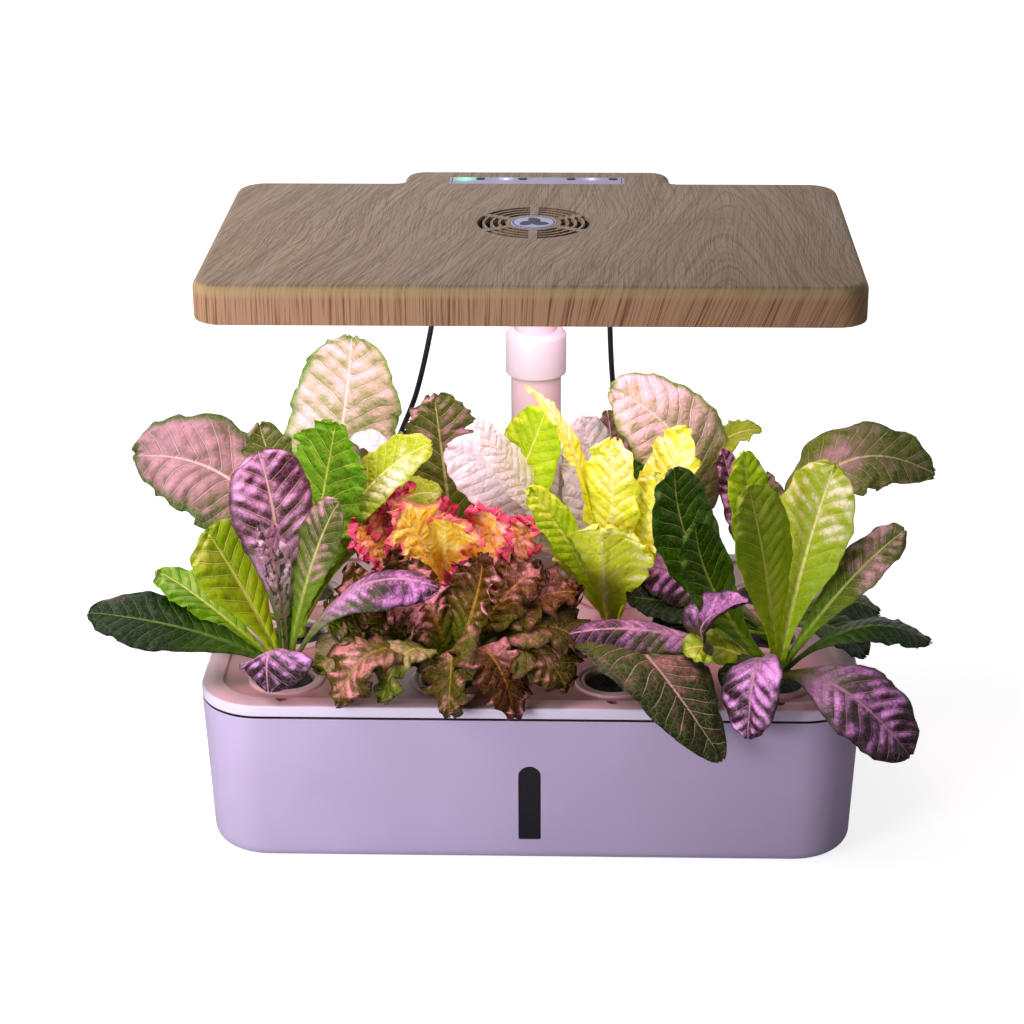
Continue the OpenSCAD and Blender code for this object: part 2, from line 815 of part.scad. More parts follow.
// Slotted collet that the lock collar squeezes onto the sliding tube
module collet() {
    foot = collar_z + 3;
    color("silver")
        translate([0, mast_y, 0])
            difference() {
                rotate_extrude()
                    polygon([
                        [tube_r, foot], [tube_r + 1.4, foot], [tube_r + 1.4, tube_top + 3],
                        [inner_r + 2, collar_top - 3.4], [inner_r + gap, collar_top - 3.4],
                        [inner_r + gap, tube_top], [tube_r, tube_top]
                    ]);
                for (a = [0, 60, 120])
                    rotate(a)
                        translate([-0.75, -tube_r - 2, tube_top + 1])
                            cube([1.5, 2 * tube_r + 4, collar_h]);
            }
}

module lock_collar() {
    bore = tube_r + 1.4 + gap;
    color("white")
        translate([0, mast_y, 0])
            rotate_extrude()
                polygon([
                    [tube_r + gap, collar_z], [collar_r - 1, collar_z], [collar_r, collar_z + 1],
                    [collar_r, collar_top - 3], [collar_r - 3, collar_top],
                    [inner_r + gap, collar_top], [inner_r + gap, collar_top - 3],
                    [inner_r + 2 + gap, collar_top - 3], [bore, tube_top + 3 + gap],
                    [bore, collar_z + 3 - gap], [tube_r + gap, collar_z + 3 - gap]
                ]);
}

module inner_pole() {
    color("lavender")
        ring(inner_r, inner_r - inner_wall, deck_top + slide_z, tray_top + 9, 0, mast_y);
}

module guide_bush() {
    z0 = deck_top + slide_z;
    color("white")
        ring(tube_r - tube_wall - run, inner_r, z0, z0 + bush_h, 0, mast_y);
}

// ---- Pump under the deck ----

module pump_hanger() {
    color("white")
        translate([0, pump_y, 0])
            difference() {
                translate([-pump_w / 2, -pump_d / 2 + 6, pump_top])
                    cube([pump_w, pump_d - 12, panel_z - pump_top]);
                translate([-pump_w / 2 + 3, -pump_d / 2, pump_top + 3])
                    cube([pump_w - 6, pump_d, panel_z - pump_top - 6]);
            }
}

module pump_housing() {
    color("dimgray")
        translate([0, pump_y, 0])
            difference() {
                union() {
                    translate([0, 0, pump_top - pump_h])
                        linear_extrude(pump_h) rounded(pump_w, pump_d, 6);
                    translate([0, -pump_d / 2 + 1, pump_top - 8])
                        rotate([90, 0, 0]) cylinder(r = 4.4, h = 11);
                }
                disc(chamber_r, pump_top - pump_h - past, pump_top - 14);
                translate([0, 0, pump_top - 8])
                    rotate([90, 0, 0]) cylinder(r = 2.8, h = pump_d);
                disc(2.8, pump_top - 15, pump_top - 8);
            }
}

module pump_rotor() {
    z0 = pump_top - pump_h + 1;
    color("navajowhite")
        translate([0, pump_y, 0]) {
            disc(4, z0, pump_top - 16);
            disc(chamber_r - 2, z0, z0 + 1.5);
            for (a = [0:60:300])
                rotate(a)
                    translate([3, -0.7, z0 + 1])
                        cube([chamber_r - 5.5, 1.4, 6]);
        }
}

module pump_cover() {
    z1 = pump_top - pump_h;
    color("dimgray")
        translate([0, pump_y, 0])
            difference() {
                translate([0, 0, z1 - 2.5]) linear_extrude(2.5) rounded(pump_w, pump_d, 6);
                for (x = [-9:6:9])
                    translate([x - 1.2, -10, z1 - 3.5]) cube([2.4, 20, 5]);
            }
}

module pump_sponge() {
    color("black")
        translate([0, pump_y, pump_top - pump_h - 2.5 - 11])
            linear_extrude(11) rounded(pump_w - 4, pump_d - 4, 5);
}

module pump_grommet() {
    color("black")
        difference() {
            union() {
                disc(lead_r + 2, panel_z, field_z + join, grommet[0], grommet[1]);
                disc(lead_r + 4, field_z, field_z + 2, grommet[0], grommet[1]);
            }
            disc(lead_r, panel_z - past, deck_top + past, grommet[0], grommet[1]);
        }
}

// ---- Lamp head ----

// The lamp's solid form, pulled in by inset, between two heights
module lamp_form(inset, z0, z1, edge) {
    hull() {
        translate([0, lamp_y, 0]) {
            plate(lamp_w, lamp_d, lamp_corner, z0, z1 - z0 - edge, inset, $fn = hull_fn);
            for (a = [30, 60, 90])
                plate(lamp_w, lamp_d, lamp_corner, z1 - edge * (1 - sin(a)) - 0.01, 0.01,
                    inset + edge * (1 - cos(a)), $fn = hull_fn);
        }
    }
    hull() {
        translate([0, bump_back - bump_d, 0]) {
            plate(bump_w, 2 * bump_d, bump_corner, z0, z1 - z0 - edge, inset, $fn = hull_fn);
            for (a = [30, 60, 90])
                plate(bump_w, 2 * bump_d, bump_corner, z1 - edge * (1 - sin(a)) - 0.01, 0.01,
                    inset + edge * (1 - cos(a)), $fn = hull_fn);
        }
    }
}

// Fillets where the bump leaves the lamp's back edge
module bump_fillets() {
    for (side = [-1, 1])
        translate([side * bump_w / 2, lamp_back, lamp_z])
            linear_extrude(lamp_t - lamp_edge)
                difference() {
                    translate([side * bump_fillet / 2 - side * join / 2, bump_fillet / 2 - join / 2])
                        square(bump_fillet + join, center = true);
                    translate([side * bump_fillet, bump_fillet]) circle(bump_fillet);
                }
}

// Concentric slots round the fan badge, broken by bars
module guard_slots() {
    translate([0, fan_y, 0])
        difference() {
            for (i = [0:guard_rings - 1])
                ring(guard_r - i * guard_pitch, guard_r - i * guard_pitch - slot_w,
                    top_z - past, lamp_top + past);
            for (i = [0:guard_bars - 1])
                rotate(90 + i * 360 / guard_bars)
                    translate([0, -2.6, top_z - 2 * past])
                        cube([guard_r + past, 5.2, lamp_wall + 4 * past]);
        }
}

// Discs at every tray screw
module at_screws(r, z0, z1) {
    for (p = screw_places) disc(r, z0, z1, p[0], p[1]);
}

module lamp_top_shell() {
    color("tan")
        difference() {
            union() {
                difference() {
                    union() {
                        lamp_form(0, lamp_z, lamp_top, lamp_edge);
                        bump_fillets();
                    }
                    lamp_form(lamp_wall, lamp_z - past, top_z, lamp_edge - 2);
                }
                at_screws(post_r, tray_top, top_z + join);
            }
            guard_slots();
            disc(badge_r - 3, top_z - past, lamp_top + past, 0, fan_y);
            disc(badge_r, lamp_top - badge_t, lamp_top + past, 0, fan_y);
            translate([0, strip_y, lamp_top - strip_t])
                linear_extrude(strip_t + past) rounded(strip_w, strip_d, 1.5);
            for (x = key_x)
                disc(key_r + gap, top_z - past, lamp_top, x, key_y);
            for (x = light_x)
                disc(light_r, top_z - past, lamp_top, x, key_y);
            at_screws(screw_r, tray_top - past, tray_top + screw_grip);
        }
}

// Flat outline that fits inside the lamp's shell
module tray_outline(inset) {
    translate([0, lamp_y])
        rounded(lamp_w - 2 * inset, lamp_d - 2 * inset, lamp_corner - inset * 0.7);
    translate([0, bump_back - bump_d])
        rounded(bump_w - 2 * inset, 2 * bump_d - 2 * inset, bump_corner - inset * 0.7);
}

module lamp_bottom_tray() {
    color("white")
        difference() {
            translate([0, 0, lamp_z]) linear_extrude(tray_t) tray_outline(lamp_wall + tray_gap);
            translate([0, panel_y, lamp_z - past])
                linear_extrude(tray_t + 2 * past) rounded(panel_w - 8, panel_d - 8, 6);
            disc(inner_r + gap / 2, lamp_z - past, tray_top + past, 0, mast_y);
            at_screws(screw_r, lamp_z - past, tray_top + past);
            for (x = gland_x) disc(gland_neck_r, lamp_z - past, tray_top + past, x, gland_y);
        }
}

module lamp_lens() {
    color("lavenderblush")
        difference() {
            translate([0, panel_y, tray_top]) linear_extrude(lens_t) rounded(panel_w, panel_d, 8);
            disc(outlet_r, tray_top - past, tray_top + lens_t + past, 0, fan_y);
        }
}

module led_board() {
    color("white")
        difference() {
            translate([0, panel_y, board_z]) linear_extrude(board_t) rounded(panel_w, panel_d, 8);
            disc(outlet_r + 1, board_z - past, board_z + board_t + past, 0, fan_y);
        }
}

// Light-emitting chips in rows, left out where the air outlet is
module led_chips() {
    step_x = (panel_w - 24) / (chip_cols - 1);
    step_y = (panel_d - 24) / (chip_rows - 1);
    color("lightyellow")
        for (i = [0:chip_cols - 1], j = [0:chip_rows - 1])
            let (x = (i - (chip_cols - 1) / 2) * step_x, y = panel_y + (j - (chip_rows - 1) / 2) * step_y)
            if (norm([x, y - fan_y]) > outlet_r + 6)
                translate([x - 1.75, y - 1.4, board_z - chip_t]) cube([3.5, 2.8, chip_t]);
}

// Round grille under the fan, seated in the light panel's hole
module fan_outlet() {
    z0 = lamp_z + 0.4;
    color("white")
        translate([0, fan_y, 0])
            difference() {
                union() {
                    disc(outlet_r + 3, z0, tray_top);
                    ring(outlet_r, outlet_r - 1.6, z0, board_z + board_t + 2);
                }
                for (i = [0:3])
                    difference() {
                        ring(outlet_r - 3 - i * 6, outlet_r - 7 - i * 6, z0 - past, tray_top + past);
                        for (a = [0, 90])
                            rotate(a)
                                translate([-1.5, -outlet_r, z0 - 2 * past])
                                    cube([3, 2 * outlet_r, tray_t + 4 * past]);
                    }
            }
}

module fan_frame() {
    color("dimgray")
        translate([0, fan_y, 0]) {
            difference() {
                translate([0, 0, fan_z])
                    linear_extrude(fan_t) rounded(2 * fan_half, 2 * fan_half, 4);
                disc(fan_bore_r, fan_z - past, fan_top + past);
                at_fan_corners() disc(screw_r + 0.4, fan_z - past, fan_top + past);
            }
            difference() {
                disc(hub_r, fan_z, fan_z + 1.5);
                disc(shaft_r + run, fan_z - past, fan_z + 2);
            }
            for (a = [0:120:240])
                rotate(a)
                    translate([-1.5, hub_r - 1, fan_z]) cube([3, fan_bore_r - hub_r + 1 + join, 1.5]);
        }
}

module at_fan_corners() {
    for (x = [-1, 1], y = [-1, 1])
        translate([x * (fan_half - 4.2), y * (fan_half - 4.2), 0]) children();
}

// Hub, shaft and pitched blades
module fan_rotor() {
    z0 = fan_z + 1.8;
    h = fan_t - 2.4;
    color("black")
        translate([0, fan_y, 0]) {
            disc(hub_r, z0, z0 + h);
            disc(shaft_r, fan_z, z0 + join);
            for (i = [0:fan_blades - 1])
                rotate(i * 360 / fan_blades)
                    intersection() {
                        translate([0, 0, z0 + h / 2])
                            rotate([0, 38, 0])
                                translate([-5.2, hub_r - 2, -0.6])
                                    cube([10.4, blade_r, 1.2]);
                        disc(blade_r, z0, z0 + h);
                    }
        }
}

module fan_badge() {
    color("lavender")
        translate([0, fan_y, 0]) {
            disc(badge_r - 0.1, lamp_top - badge_t, lamp_top + 0.2);
            disc(badge_r - 3, top_z + 0.4, lamp_top - badge_t + join);
        }
}

// Tray screws and the fan's own four screws
module lamp_screws() {
    color("silver") {
        at_screws(3, lamp_z - 1.2, lamp_z);
        at_screws(screw_r, lamp_z - join, tray_top + screw_grip - 1);
        translate([0, fan_y, 0])
            at_fan_corners() {
                disc(3, fan_z - 1.4, fan_z);
                disc(screw_r, fan_z - join, fan_top);
            }
    }
}

module control_strip() {
    color("lavender")
        difference() {
            translate([0, strip_y, lamp_top - strip_t])
                linear_extrude(strip_t) rounded(strip_w, strip_d, 1.5);
            for (x = key_x)
                disc(key_r + gap, lamp_top - strip_t - past, lamp_top + past, x, key_y);
            for (x = light_x)
                disc(light_r, lamp_top - strip_t - past, lamp_top + past, x, key_y);
        }
}

module control_board() {
    color("darkgreen")
        translate([0, strip_y, control_z])
            linear_extrude(board_t) rounded(strip_w, strip_d, 1);
}

// Light pipes from the control board up through the strip
module status_lights() {
    color("aquamarine")
        for (x = light_x)
            disc(light_r, control_z + board_t, lamp_top + 0.1, x, key_y);
}

// Key with a flange that keeps it under the shell
module press_key(i) {
    flange_z = top_z - gap - 1;
    color("indigo")
        translate([key_x[i], key_y, 0]) {
            disc(key_r, control_z + board_t + key_travel + 0.4, lamp_top + 0.3);
            disc(key_r + 1.2, flange_z, flange_z + 1);
        }
}

module power_key() { press_key(0); }
module leaf_key() { press_key(1); }
module flower_key() { press_key(2); }
module fan_key() { press_key(3); }

// Socket that clamps the sliding tube inside the lamp
module lamp_socket() {
    color("white")
        difference() {
            union() {
                disc(inner_r + 7, tray_top, tray_top + 2.4, 0, mast_y);
                disc(inner_r + 3, tray_top, tray_top + 12, 0, mast_y);
            }
            disc(inner_r, tray_top - past, tray_top + 9, 0, mast_y);
            disc(inner_r - 3, tray_top - past, tray_top + 12 + past, 0, mast_y);
        }
}

// Tapered strain relief that hangs from the tray
module gland(i) {
    z0 = lamp_z - gland_h;
    color("black")
        translate([gland_x[i], gland_y, 0])
            rotate_extrude()
                polygon([
                    [0, z0], [lead_r + 0.7, z0], [lead_r + 2, lamp_z - 3], [gland_neck_r + 2, lamp_z - 3],
                    [gland_neck_r + 2, lamp_z], [gland_neck_r, lamp_z], [gland_neck_r, tray_top + 1],
                    [gland_neck_r + 1.4, tray_top + 1], [gland_neck_r + 1.4, tray_top + 2.4],
                    [0, tray_top + 2.4]
                ]);
}

module power_gland() { gland(0); }
module pump_gland() { gland(1); }

// ---- Leads ----

module lamp_pigtail() {
    color("black") lead(pigtail_route);
}

module pump_lead() {
    color("black") lead(pump_route);
}

// Barrel connector: the pigtail's socket above, the adapter's plug below
module dc_connector() {
    top = deck_top + 6;
    low = deck_top - 46;
    color("black")
        translate([clip_x, clip_y, 0])
            rotate_extrude()
                polygon([
                    [0, top], [lead_r + 0.6, top], [plug_r, top - 5], [plug_r, deck_top - 18],
                    [plug_r - 0.6, deck_top - 18], [plug_r - 0.6, deck_top - 19],
                    [plug_r - 0.2, deck_top - 19], [plug_r - 0.2, deck_top - 34],
                    [lead_r + 0.5, low], [0, low]
                ]);
}

module adapter_lead() {
    color("black") {
        lead(adapter_route);
        lead(tail_route);
    }
}

module lead_coil() {
    color("black")
        translate([coil_x, coil_y, 0.2])
            rotate_extrude()
                translate([coil_in, 0])
                    polygon([
                        [1, 0], [coil_band - 1, 0], [coil_band, 1], [coil_band, coil_h - 1],
                        [coil_band - 1, coil_h], [1, coil_h], [0, coil_h - 1], [0, 1]
                    ]);
}

// Strap round the coil
module coil_tie() {
    w = 7;
    y0 = coil_in - 1;
    color("dimgray")
        translate([coil_x - w / 2, coil_y + y0, 0])
            difference() {
                translate([0, -0.8, 0]) cube([w, coil_out - y0 + 1.6, coil_h + 1.2]);
                translate([-past, 0, 0.2]) cube([w + 2 * past, coil_out - y0, coil_h]);
            }
}

module power_adapter() {
    color("black")
        translate([adapter_x, adapter_y, 0]) {
            hull() {
                translate([0, adapter[1] / 2, 0])
                    plate(adapter[0], adapter[1], 5, 0, 0.01, 2, $fn = hull_fn);
                translate([0, adapter[1] / 2, 0])
                    plate(adapter[0], adapter[1], 5, 2, adapter[2] - 4, 0, $fn = hull_fn);
                translate([0, adapter[1] / 2, 0])
                    plate(adapter[0], adapter[1], 5, adapter[2] - 0.01, 0.01, 2, $fn = hull_fn);
            }
            translate([0, -12, adapter_exit])
                rotate([-90, 0, 0])
                    cylinder(r1 = lead_r + 0.6, r2 = lead_r + 2.6, h = 12 + join);
        }
}

module adapter_pins() {
    color("silver")
        for (x = [-6.35, 6.35])
            translate([adapter_x + x - 0.75, adapter_y + adapter[1], adapter[2] / 2 - 3.15])
                cube([1.5, 16, 6.3]);
}

// ---- Which node is drawn ----

tank_shell();
level_window();
window_gasket();
tank_pads();
deck_panel();
baskets();
grow_sponges();
front_left_romaine();
middle_left_lettuce();
back_left_lettuce();
bronze_frilled_lettuce();
red_frilled_lettuce();
back_centre_lettuce();
yellow_romaine();
back_right_lettuce();
front_right_romaine();
middle_right_lettuce();
far_right_lettuce();
outer_pole();
pole_foot();
pole_nut();
collet();
lock_collar();
pump_hanger();
pump_housing();
pump_rotor();
pump_cover();
pump_sponge();
pump_grommet();
inner_pole();
guide_bush();
lamp_socket();
lamp_top_shell();
lamp_bottom_tray();
led_board();
led_chips();
lamp_lens();
fan_outlet();
fan_frame();
fan_rotor();
fan_badge();
lamp_screws();
control_strip();
control_board();
status_lights();
power_key();
leaf_key();
flower_key();
fan_key();
power_gland();
pump_gland();
lamp_pigtail();
dc_connector();
pump_lead();
adapter_lead();
lead_coil();
coil_tie();
power_adapter();
adapter_pins();
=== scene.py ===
"""Looks of a countertop hydroponic garden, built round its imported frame.

Shapes are worked out in millimetres in the row frame and made in metres: the front faces -Y,
Z is up, and the origin is the middle of the tank's underside.
"""

import json
import math

import bmesh
import bpy
import numpy as np
from mathutils import Matrix, Vector, noise


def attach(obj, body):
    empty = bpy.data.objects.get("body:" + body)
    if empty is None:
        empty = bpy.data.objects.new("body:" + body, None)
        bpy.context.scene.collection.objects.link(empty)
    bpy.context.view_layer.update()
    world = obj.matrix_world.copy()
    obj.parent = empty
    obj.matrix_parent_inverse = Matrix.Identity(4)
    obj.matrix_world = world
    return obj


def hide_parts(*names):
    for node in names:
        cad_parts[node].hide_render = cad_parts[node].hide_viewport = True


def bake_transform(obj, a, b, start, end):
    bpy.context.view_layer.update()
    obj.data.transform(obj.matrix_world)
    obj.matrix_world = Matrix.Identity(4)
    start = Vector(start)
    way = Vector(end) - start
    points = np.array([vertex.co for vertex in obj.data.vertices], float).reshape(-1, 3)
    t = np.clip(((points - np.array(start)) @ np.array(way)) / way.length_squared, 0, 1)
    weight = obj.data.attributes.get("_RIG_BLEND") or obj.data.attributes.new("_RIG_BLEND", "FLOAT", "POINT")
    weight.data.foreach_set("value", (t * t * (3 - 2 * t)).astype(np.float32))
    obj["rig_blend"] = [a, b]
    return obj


bl_info = {
    "name": "Countertop Hydroponic Garden",
    "version": (1, 0, 0),
    "blender": (4, 5, 0),
    "location": "3D View > Sidebar > Garden",
    "description": "Builds the tank, deck, lettuces, mast and lamp of a countertop garden",
    "category": "Object",
}

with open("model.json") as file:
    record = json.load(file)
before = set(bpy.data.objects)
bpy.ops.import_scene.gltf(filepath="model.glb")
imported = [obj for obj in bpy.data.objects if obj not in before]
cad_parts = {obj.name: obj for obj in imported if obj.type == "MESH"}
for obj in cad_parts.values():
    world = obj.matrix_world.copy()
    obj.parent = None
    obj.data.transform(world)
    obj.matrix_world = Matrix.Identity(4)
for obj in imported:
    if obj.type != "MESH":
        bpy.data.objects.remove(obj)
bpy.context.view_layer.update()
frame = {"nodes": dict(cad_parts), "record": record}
BODY_OF = {
    node: body
    for body, nodes in frame["record"]["behaviour"]["bodies"].items()
    for node in nodes
}

MM = 0.001
TURN = 2 * math.pi

# Places that several pieces share, in millimetres
TANK_WIDTH, TANK_DEPTH, TANK_CORNER = 400, 234, 38
TANK_FEET = [(x, y) for x in (-156, 156) for y in (-83, 83)]
POD_X = (-148.5, -49.5, 49.5, 148.5)
POD_Y = (-76, -13, 50)
CLIP = (-88, 124.5)
PUMP_HOLE = (46, 97)
MAST_Y = 88
FAN_Y = 19.5
LAMP_Z, LAMP_TOP = 342, 365
GLAND_Y = 130
STRIP_Y, STRIP_FLOOR = 117, 363.8
KEY_Y = 121.5
KEY_X = (-36, -9, 22, 49)
LIGHT_X = (-46, -20, 35)

# Angle in degrees past which an edge stays sharp
CREASE = 35


# ---- Shader and geometry trees ----


class Flow:
    """An output in a node tree that can be used in Python sums."""

    def __init__(self, tree, socket):
        self.tree = tree
        self.socket = socket

    def math(self, operation, *others):
        values = dict(enumerate((self, *others)))
        return add(self.tree, "ShaderNodeMath", {"operation": operation}, values)

    def __add__(self, other):
        return self.math("ADD", other)

    def __sub__(self, other):
        return self.math("SUBTRACT", other)

    def __rsub__(self, other):
        return (self * -1) + other

    def __mul__(self, other):
        return self.math("MULTIPLY", other)

    def __truediv__(self, other):
        return self.math("DIVIDE", other)

    def __rtruediv__(self, other):
        return self**-1 * other

    def __pow__(self, other):
        return self.math("POWER", other)

    __radd__ = __add__
    __rmul__ = __mul__

    def ramp(self, low, high, to_low=0.0, to_high=1.0):
        """Eased step from one value to another while this one goes from low to high."""
        values = {0: self, 1: low, 2: high, 3: to_low, 4: to_high}
        return add(self.tree, "ShaderNodeMapRange", {"interpolation_type": "SMOOTHSTEP"}, values)


def add(tree, kind, settings=None, values=None, out=0):
    """One node: its settings first, then the values or links of its sockets."""
    node = tree.nodes.new(kind)
    for name, value in (settings or {}).items():
        setattr(node, name, value)
    for key, value in (values or {}).items():
        if isinstance(value, Flow):
            tree.links.new(value.socket, node.inputs[key])
        else:
            node.inputs[key].default_value = value
    return Flow(tree, node.outputs[out])


def metres(*numbers):
    return tuple(n * MM for n in numbers)


def tint(red, green, blue):
    """A colour given in screen values from 0 to 255, as a linear colour."""
    linear = [
        c / 12.92 if c <= 0.04045 else ((c + 0.055) / 1.055) ** 2.4
        for c in (red / 255, green / 255, blue / 255)
    ]
    return (*linear, 1.0)


def shaded(colour, share, plus=0.0):
    """A colour with each part scaled and then raised."""
    return (*(min(1, c * share + plus) for c in colour[:3]), 1.0)


def blend(share, first, second):
    """Mix of two colours."""
    values = {0: share, 6: first, 7: second}
    return add(share.tree, "ShaderNodeMix", {"data_type": "RGBA"}, values, out=2)


def attribute(tree, name, out="Fac"):
    return add(tree, "ShaderNodeAttribute", {"attribute_name": name}, out=out)


def placed(tree):
    """The piece's own coordinates in metres."""
    return add(tree, "ShaderNodeTexCoord", out="Object")


def part(place, axis):
    """One coordinate of a place, by its number."""
    return add(place.tree, "ShaderNodeSeparateXYZ", None, {0: place}, out=axis)


def distance(place, spot):
    """How far a place is from a spot."""
    ends = {0: place, 1: spot}
    return add(place.tree, "ShaderNodeVectorMath", {"operation": "DISTANCE"}, ends, out="Value")


def clouds(where, scale, detail=2.0, rough=0.5, warp=0.0):
    """Soft noise."""
    values = {"Vector": where, "Scale": scale, "Detail": detail, "Roughness": rough}
    values["Distortion"] = warp
    return add(where.tree, "ShaderNodeTexNoise", None, values)


def bump(height, depth, strength=1.0):
    """Normal of a relief, with its depth in metres."""
    values = {"Height": height, "Distance": depth, "Strength": strength}
    return add(height.tree, "ShaderNodeBump", None, values)


def finish(name, paint, **fixed):
    """A material: paint fills the sockets that vary, fixed the ones that don't."""
    made = bpy.data.materials.get(name)
    if made:
        return made
    made = bpy.data.materials.new(name)
    made.use_nodes = True
    tree = made.node_tree
    tree.nodes.clear()
    shader = tree.nodes.new("ShaderNodeBsdfPrincipled")
    sink = tree.nodes.new("ShaderNodeOutputMaterial")
    tree.links.new(shader.outputs[0], sink.inputs["Surface"])
    for socket, value in fixed.items():
        shader.inputs[socket.replace("_", " ")].default_value = value
    for socket, value in paint(tree).items():
        tree.links.new(value.socket, shader.inputs[socket])
    return made


# ---- Finishes ----


def outer_wall(own):
    """1 on the outermost skin of the tank's plan and 0 inside it."""
    straight = metres(TANK_WIDTH / 2 - TANK_CORNER, TANK_DEPTH / 2 - TANK_CORNER)
    x, y = (
        (part(own, axis).math("ABSOLUTE") - length).math("MAXIMUM", 0)
        for axis, length in enumerate(straight)
    )
    return ((x * x + y * y) ** 0.5).ramp(*metres(TANK_CORNER - 1.6, TANK_CORNER - 0.6))


def moulded(name, colour, rough, grain=0.00002, size=700, shaded_joint=None, lit_crest=None, **fixed):
    """Moulded plastic with a fine spark-eroded grain and a faint cloudiness.

    Between the two heights of a joint the colour is darkened with painted shade. Above the height
    of a crest, and on the outer wall, the colour is painted paler, as painted light. Heights are
    in millimetres.
    """

    def paint(tree):
        own = placed(tree)
        fine = clouds(own, size, 3, 0.6)
        broad = clouds(own, 14, 2)
        skin = blend(broad.ramp(0.3, 0.7), colour, shaded(colour, 0.93))
        if shaded_joint:
            z = part(own, 2)
            low, high = shaded_joint
            # Painted shade: the seam between the two heights is darkened, as the groove between parts would
            # be in shade.
            seam_shade = z.ramp(*metres(low - 0.1, low)) * z.ramp(*metres(high + 0.1, high))
            skin = blend(seam_shade, skin, tint(44, 32, 26))
        # Painted light: above the crest and on the outer wall the plastic is painted paler, near its own
        # white, than the field below.
        if lit_crest:
            top = part(own, 2).ramp(*metres(lit_crest - 0.6, lit_crest))
            skin = blend(top * 0.6, skin, tint(222, 182, 194))
            skin = blend(outer_wall(own), skin, tint(226, 214, 238))
        return {
            "Base Color": skin,
            "Roughness": broad * 0.08 + fine * 0.1 + (rough - 0.09),
            "Normal": bump(fine, grain, 0.6),
        }

    return finish(name, paint, **fixed)


def foam(name, colour):
    """Open-celled sponge."""

    def paint(tree):
        own = placed(tree)
        cells = add(tree, "ShaderNodeTexVoronoi", None, {"Vector": own, "Scale": 900})
        broad = clouds(own, 160, 3)
        return {
            "Base Color": blend(broad.ramp(0.35, 0.75), colour, shaded(colour, 2.4, 0.01)),
            "Roughness": broad * 0.1 + 0.85,
            "Normal": bump(cells + broad, 0.0009),
        }

    return finish(name, paint)


def rubber(name, colour, rough=0.5):
    """Soft extruded jacket with faint scuffs."""

    def paint(tree):
        own = placed(tree)
        dull = clouds(own, 90, 4, 0.65)
        return {
            "Base Color": blend(dull.ramp(0.5, 0.85), colour, shaded(colour, 1.9, 0.012)),
            "Roughness": dull * 0.3 + (rough - 0.15),
            "Normal": bump(clouds(own, 1500, 2), 0.00002, 0.5),
        }

    return finish(name, paint)


def metal(name, colour, rough):
    """Steel with fine tool marks."""

    def paint(tree):
        marks = clouds(placed(tree), 900, 4, 0.7)
        return {
            "Base Color": blend(marks.ramp(0.35, 0.7), shaded(colour, 0.8), colour),
            "Roughness": marks * 0.16 + (rough - 0.08),
            "Normal": bump(marks, 0.000015, 0.4),
        }

    return finish(name, paint, Metallic=1.0)


# Oak print: two tones of the broad bands, dark grain, pores, two tones of the sides, whose warmer
# tone is painted light, and the yellow painted highlight of the rounded edge, as screen values,
# and how far right its heart lies, in metres
OAK = (
    (151, 127, 107), (166, 141, 121), (112, 88, 68), (84, 62, 48),
    (186, 142, 112), (122, 78, 54), (192, 164, 112),
)
HEART_X = 0.112


def wood_print():
    """Printed oak film: grain that runs front to back and opens round one heart."""
    shade, light, deep, pore, side_light, side_deep, yellow = (tint(*c) for c in OAK)

    def paint(tree):
        own = placed(tree)
        x, y, z = (part(own, axis) for axis in range(3))
        flat = add(tree, "ShaderNodeCombineXYZ", None, {0: x, 1: y * 0.5, 2: 0.0})
        sway = clouds(flat, 8, 1.5, 0.45) - 0.5
        ripple = clouds(flat, 38, 2, 0.5) - 0.5
        slant = ((LAMP_TOP - 5) * MM - z) * x.ramp(-0.05, 0.16, 0.0, 0.5)
        away = x - y * x.ramp(-0.2, 0.06, 0.24, 0.0) + sway * 0.06 + slant - HEART_X
        fibre = away + ripple * 0.0035
        rings = (fibre * fibre + 0.0001) ** 0.5 + y * 0.19

        def grain(line, across, along, detail, rough=0.5):
            values = {0: line * across, 1: y * along, 2: z * along}
            return clouds(add(tree, "ShaderNodeCombineXYZ", None, values), 1.0, detail, rough)

        bands = grain(rings, 85, 3, 3, 0.6)
        strands = grain(rings, 520, 6, 3, 0.6)
        fine = grain(fibre, 1400, 20, 2, 0.6)
        pores = grain(fibre, 1500, 90, 1).ramp(0.54, 0.64)
        face = blend(bands.ramp(0.34, 0.68), shade, light)
        face = blend(strands.ramp(0.48, 0.64) * 0.55, face, deep)
        face = blend(fine.ramp(0.48, 0.6) * 0.6, face, deep)
        face = blend(pores * strands.ramp(0.3, 0.6) * 0.5, face, pore)
        # The sides get their own grain lines and a warmer tone, which is painted light; the rounded edge
        # gets a yellow painted highlight.
        side = z.ramp(*metres(LAMP_TOP - 1.5, LAMP_TOP - 6.5))
        painted_edge_highlight = z.ramp(*metres(LAMP_TOP, LAMP_TOP - 2))
        painted_edge_highlight = painted_edge_highlight * z.ramp(*metres(LAMP_TOP - 8.5, LAMP_TOP - 4))
        lines = (strands * 0.6 + fine * 0.9).ramp(0.7, 0.95)
        face = blend(side * 0.85, face, blend(lines, side_light, side_deep))
        face = blend(painted_edge_highlight * 0.5, face, yellow)
        return {
            "Base Color": face,
            "Roughness": fine * 0.18 + bands * 0.08 + 0.45,
            "Normal": bump(strands * -0.5 - fine * 0.5 - pores * 0.6, 0.00016, 0.7),
        }

    return finish("oak print film", paint, Specular_IOR_Level=0.12)


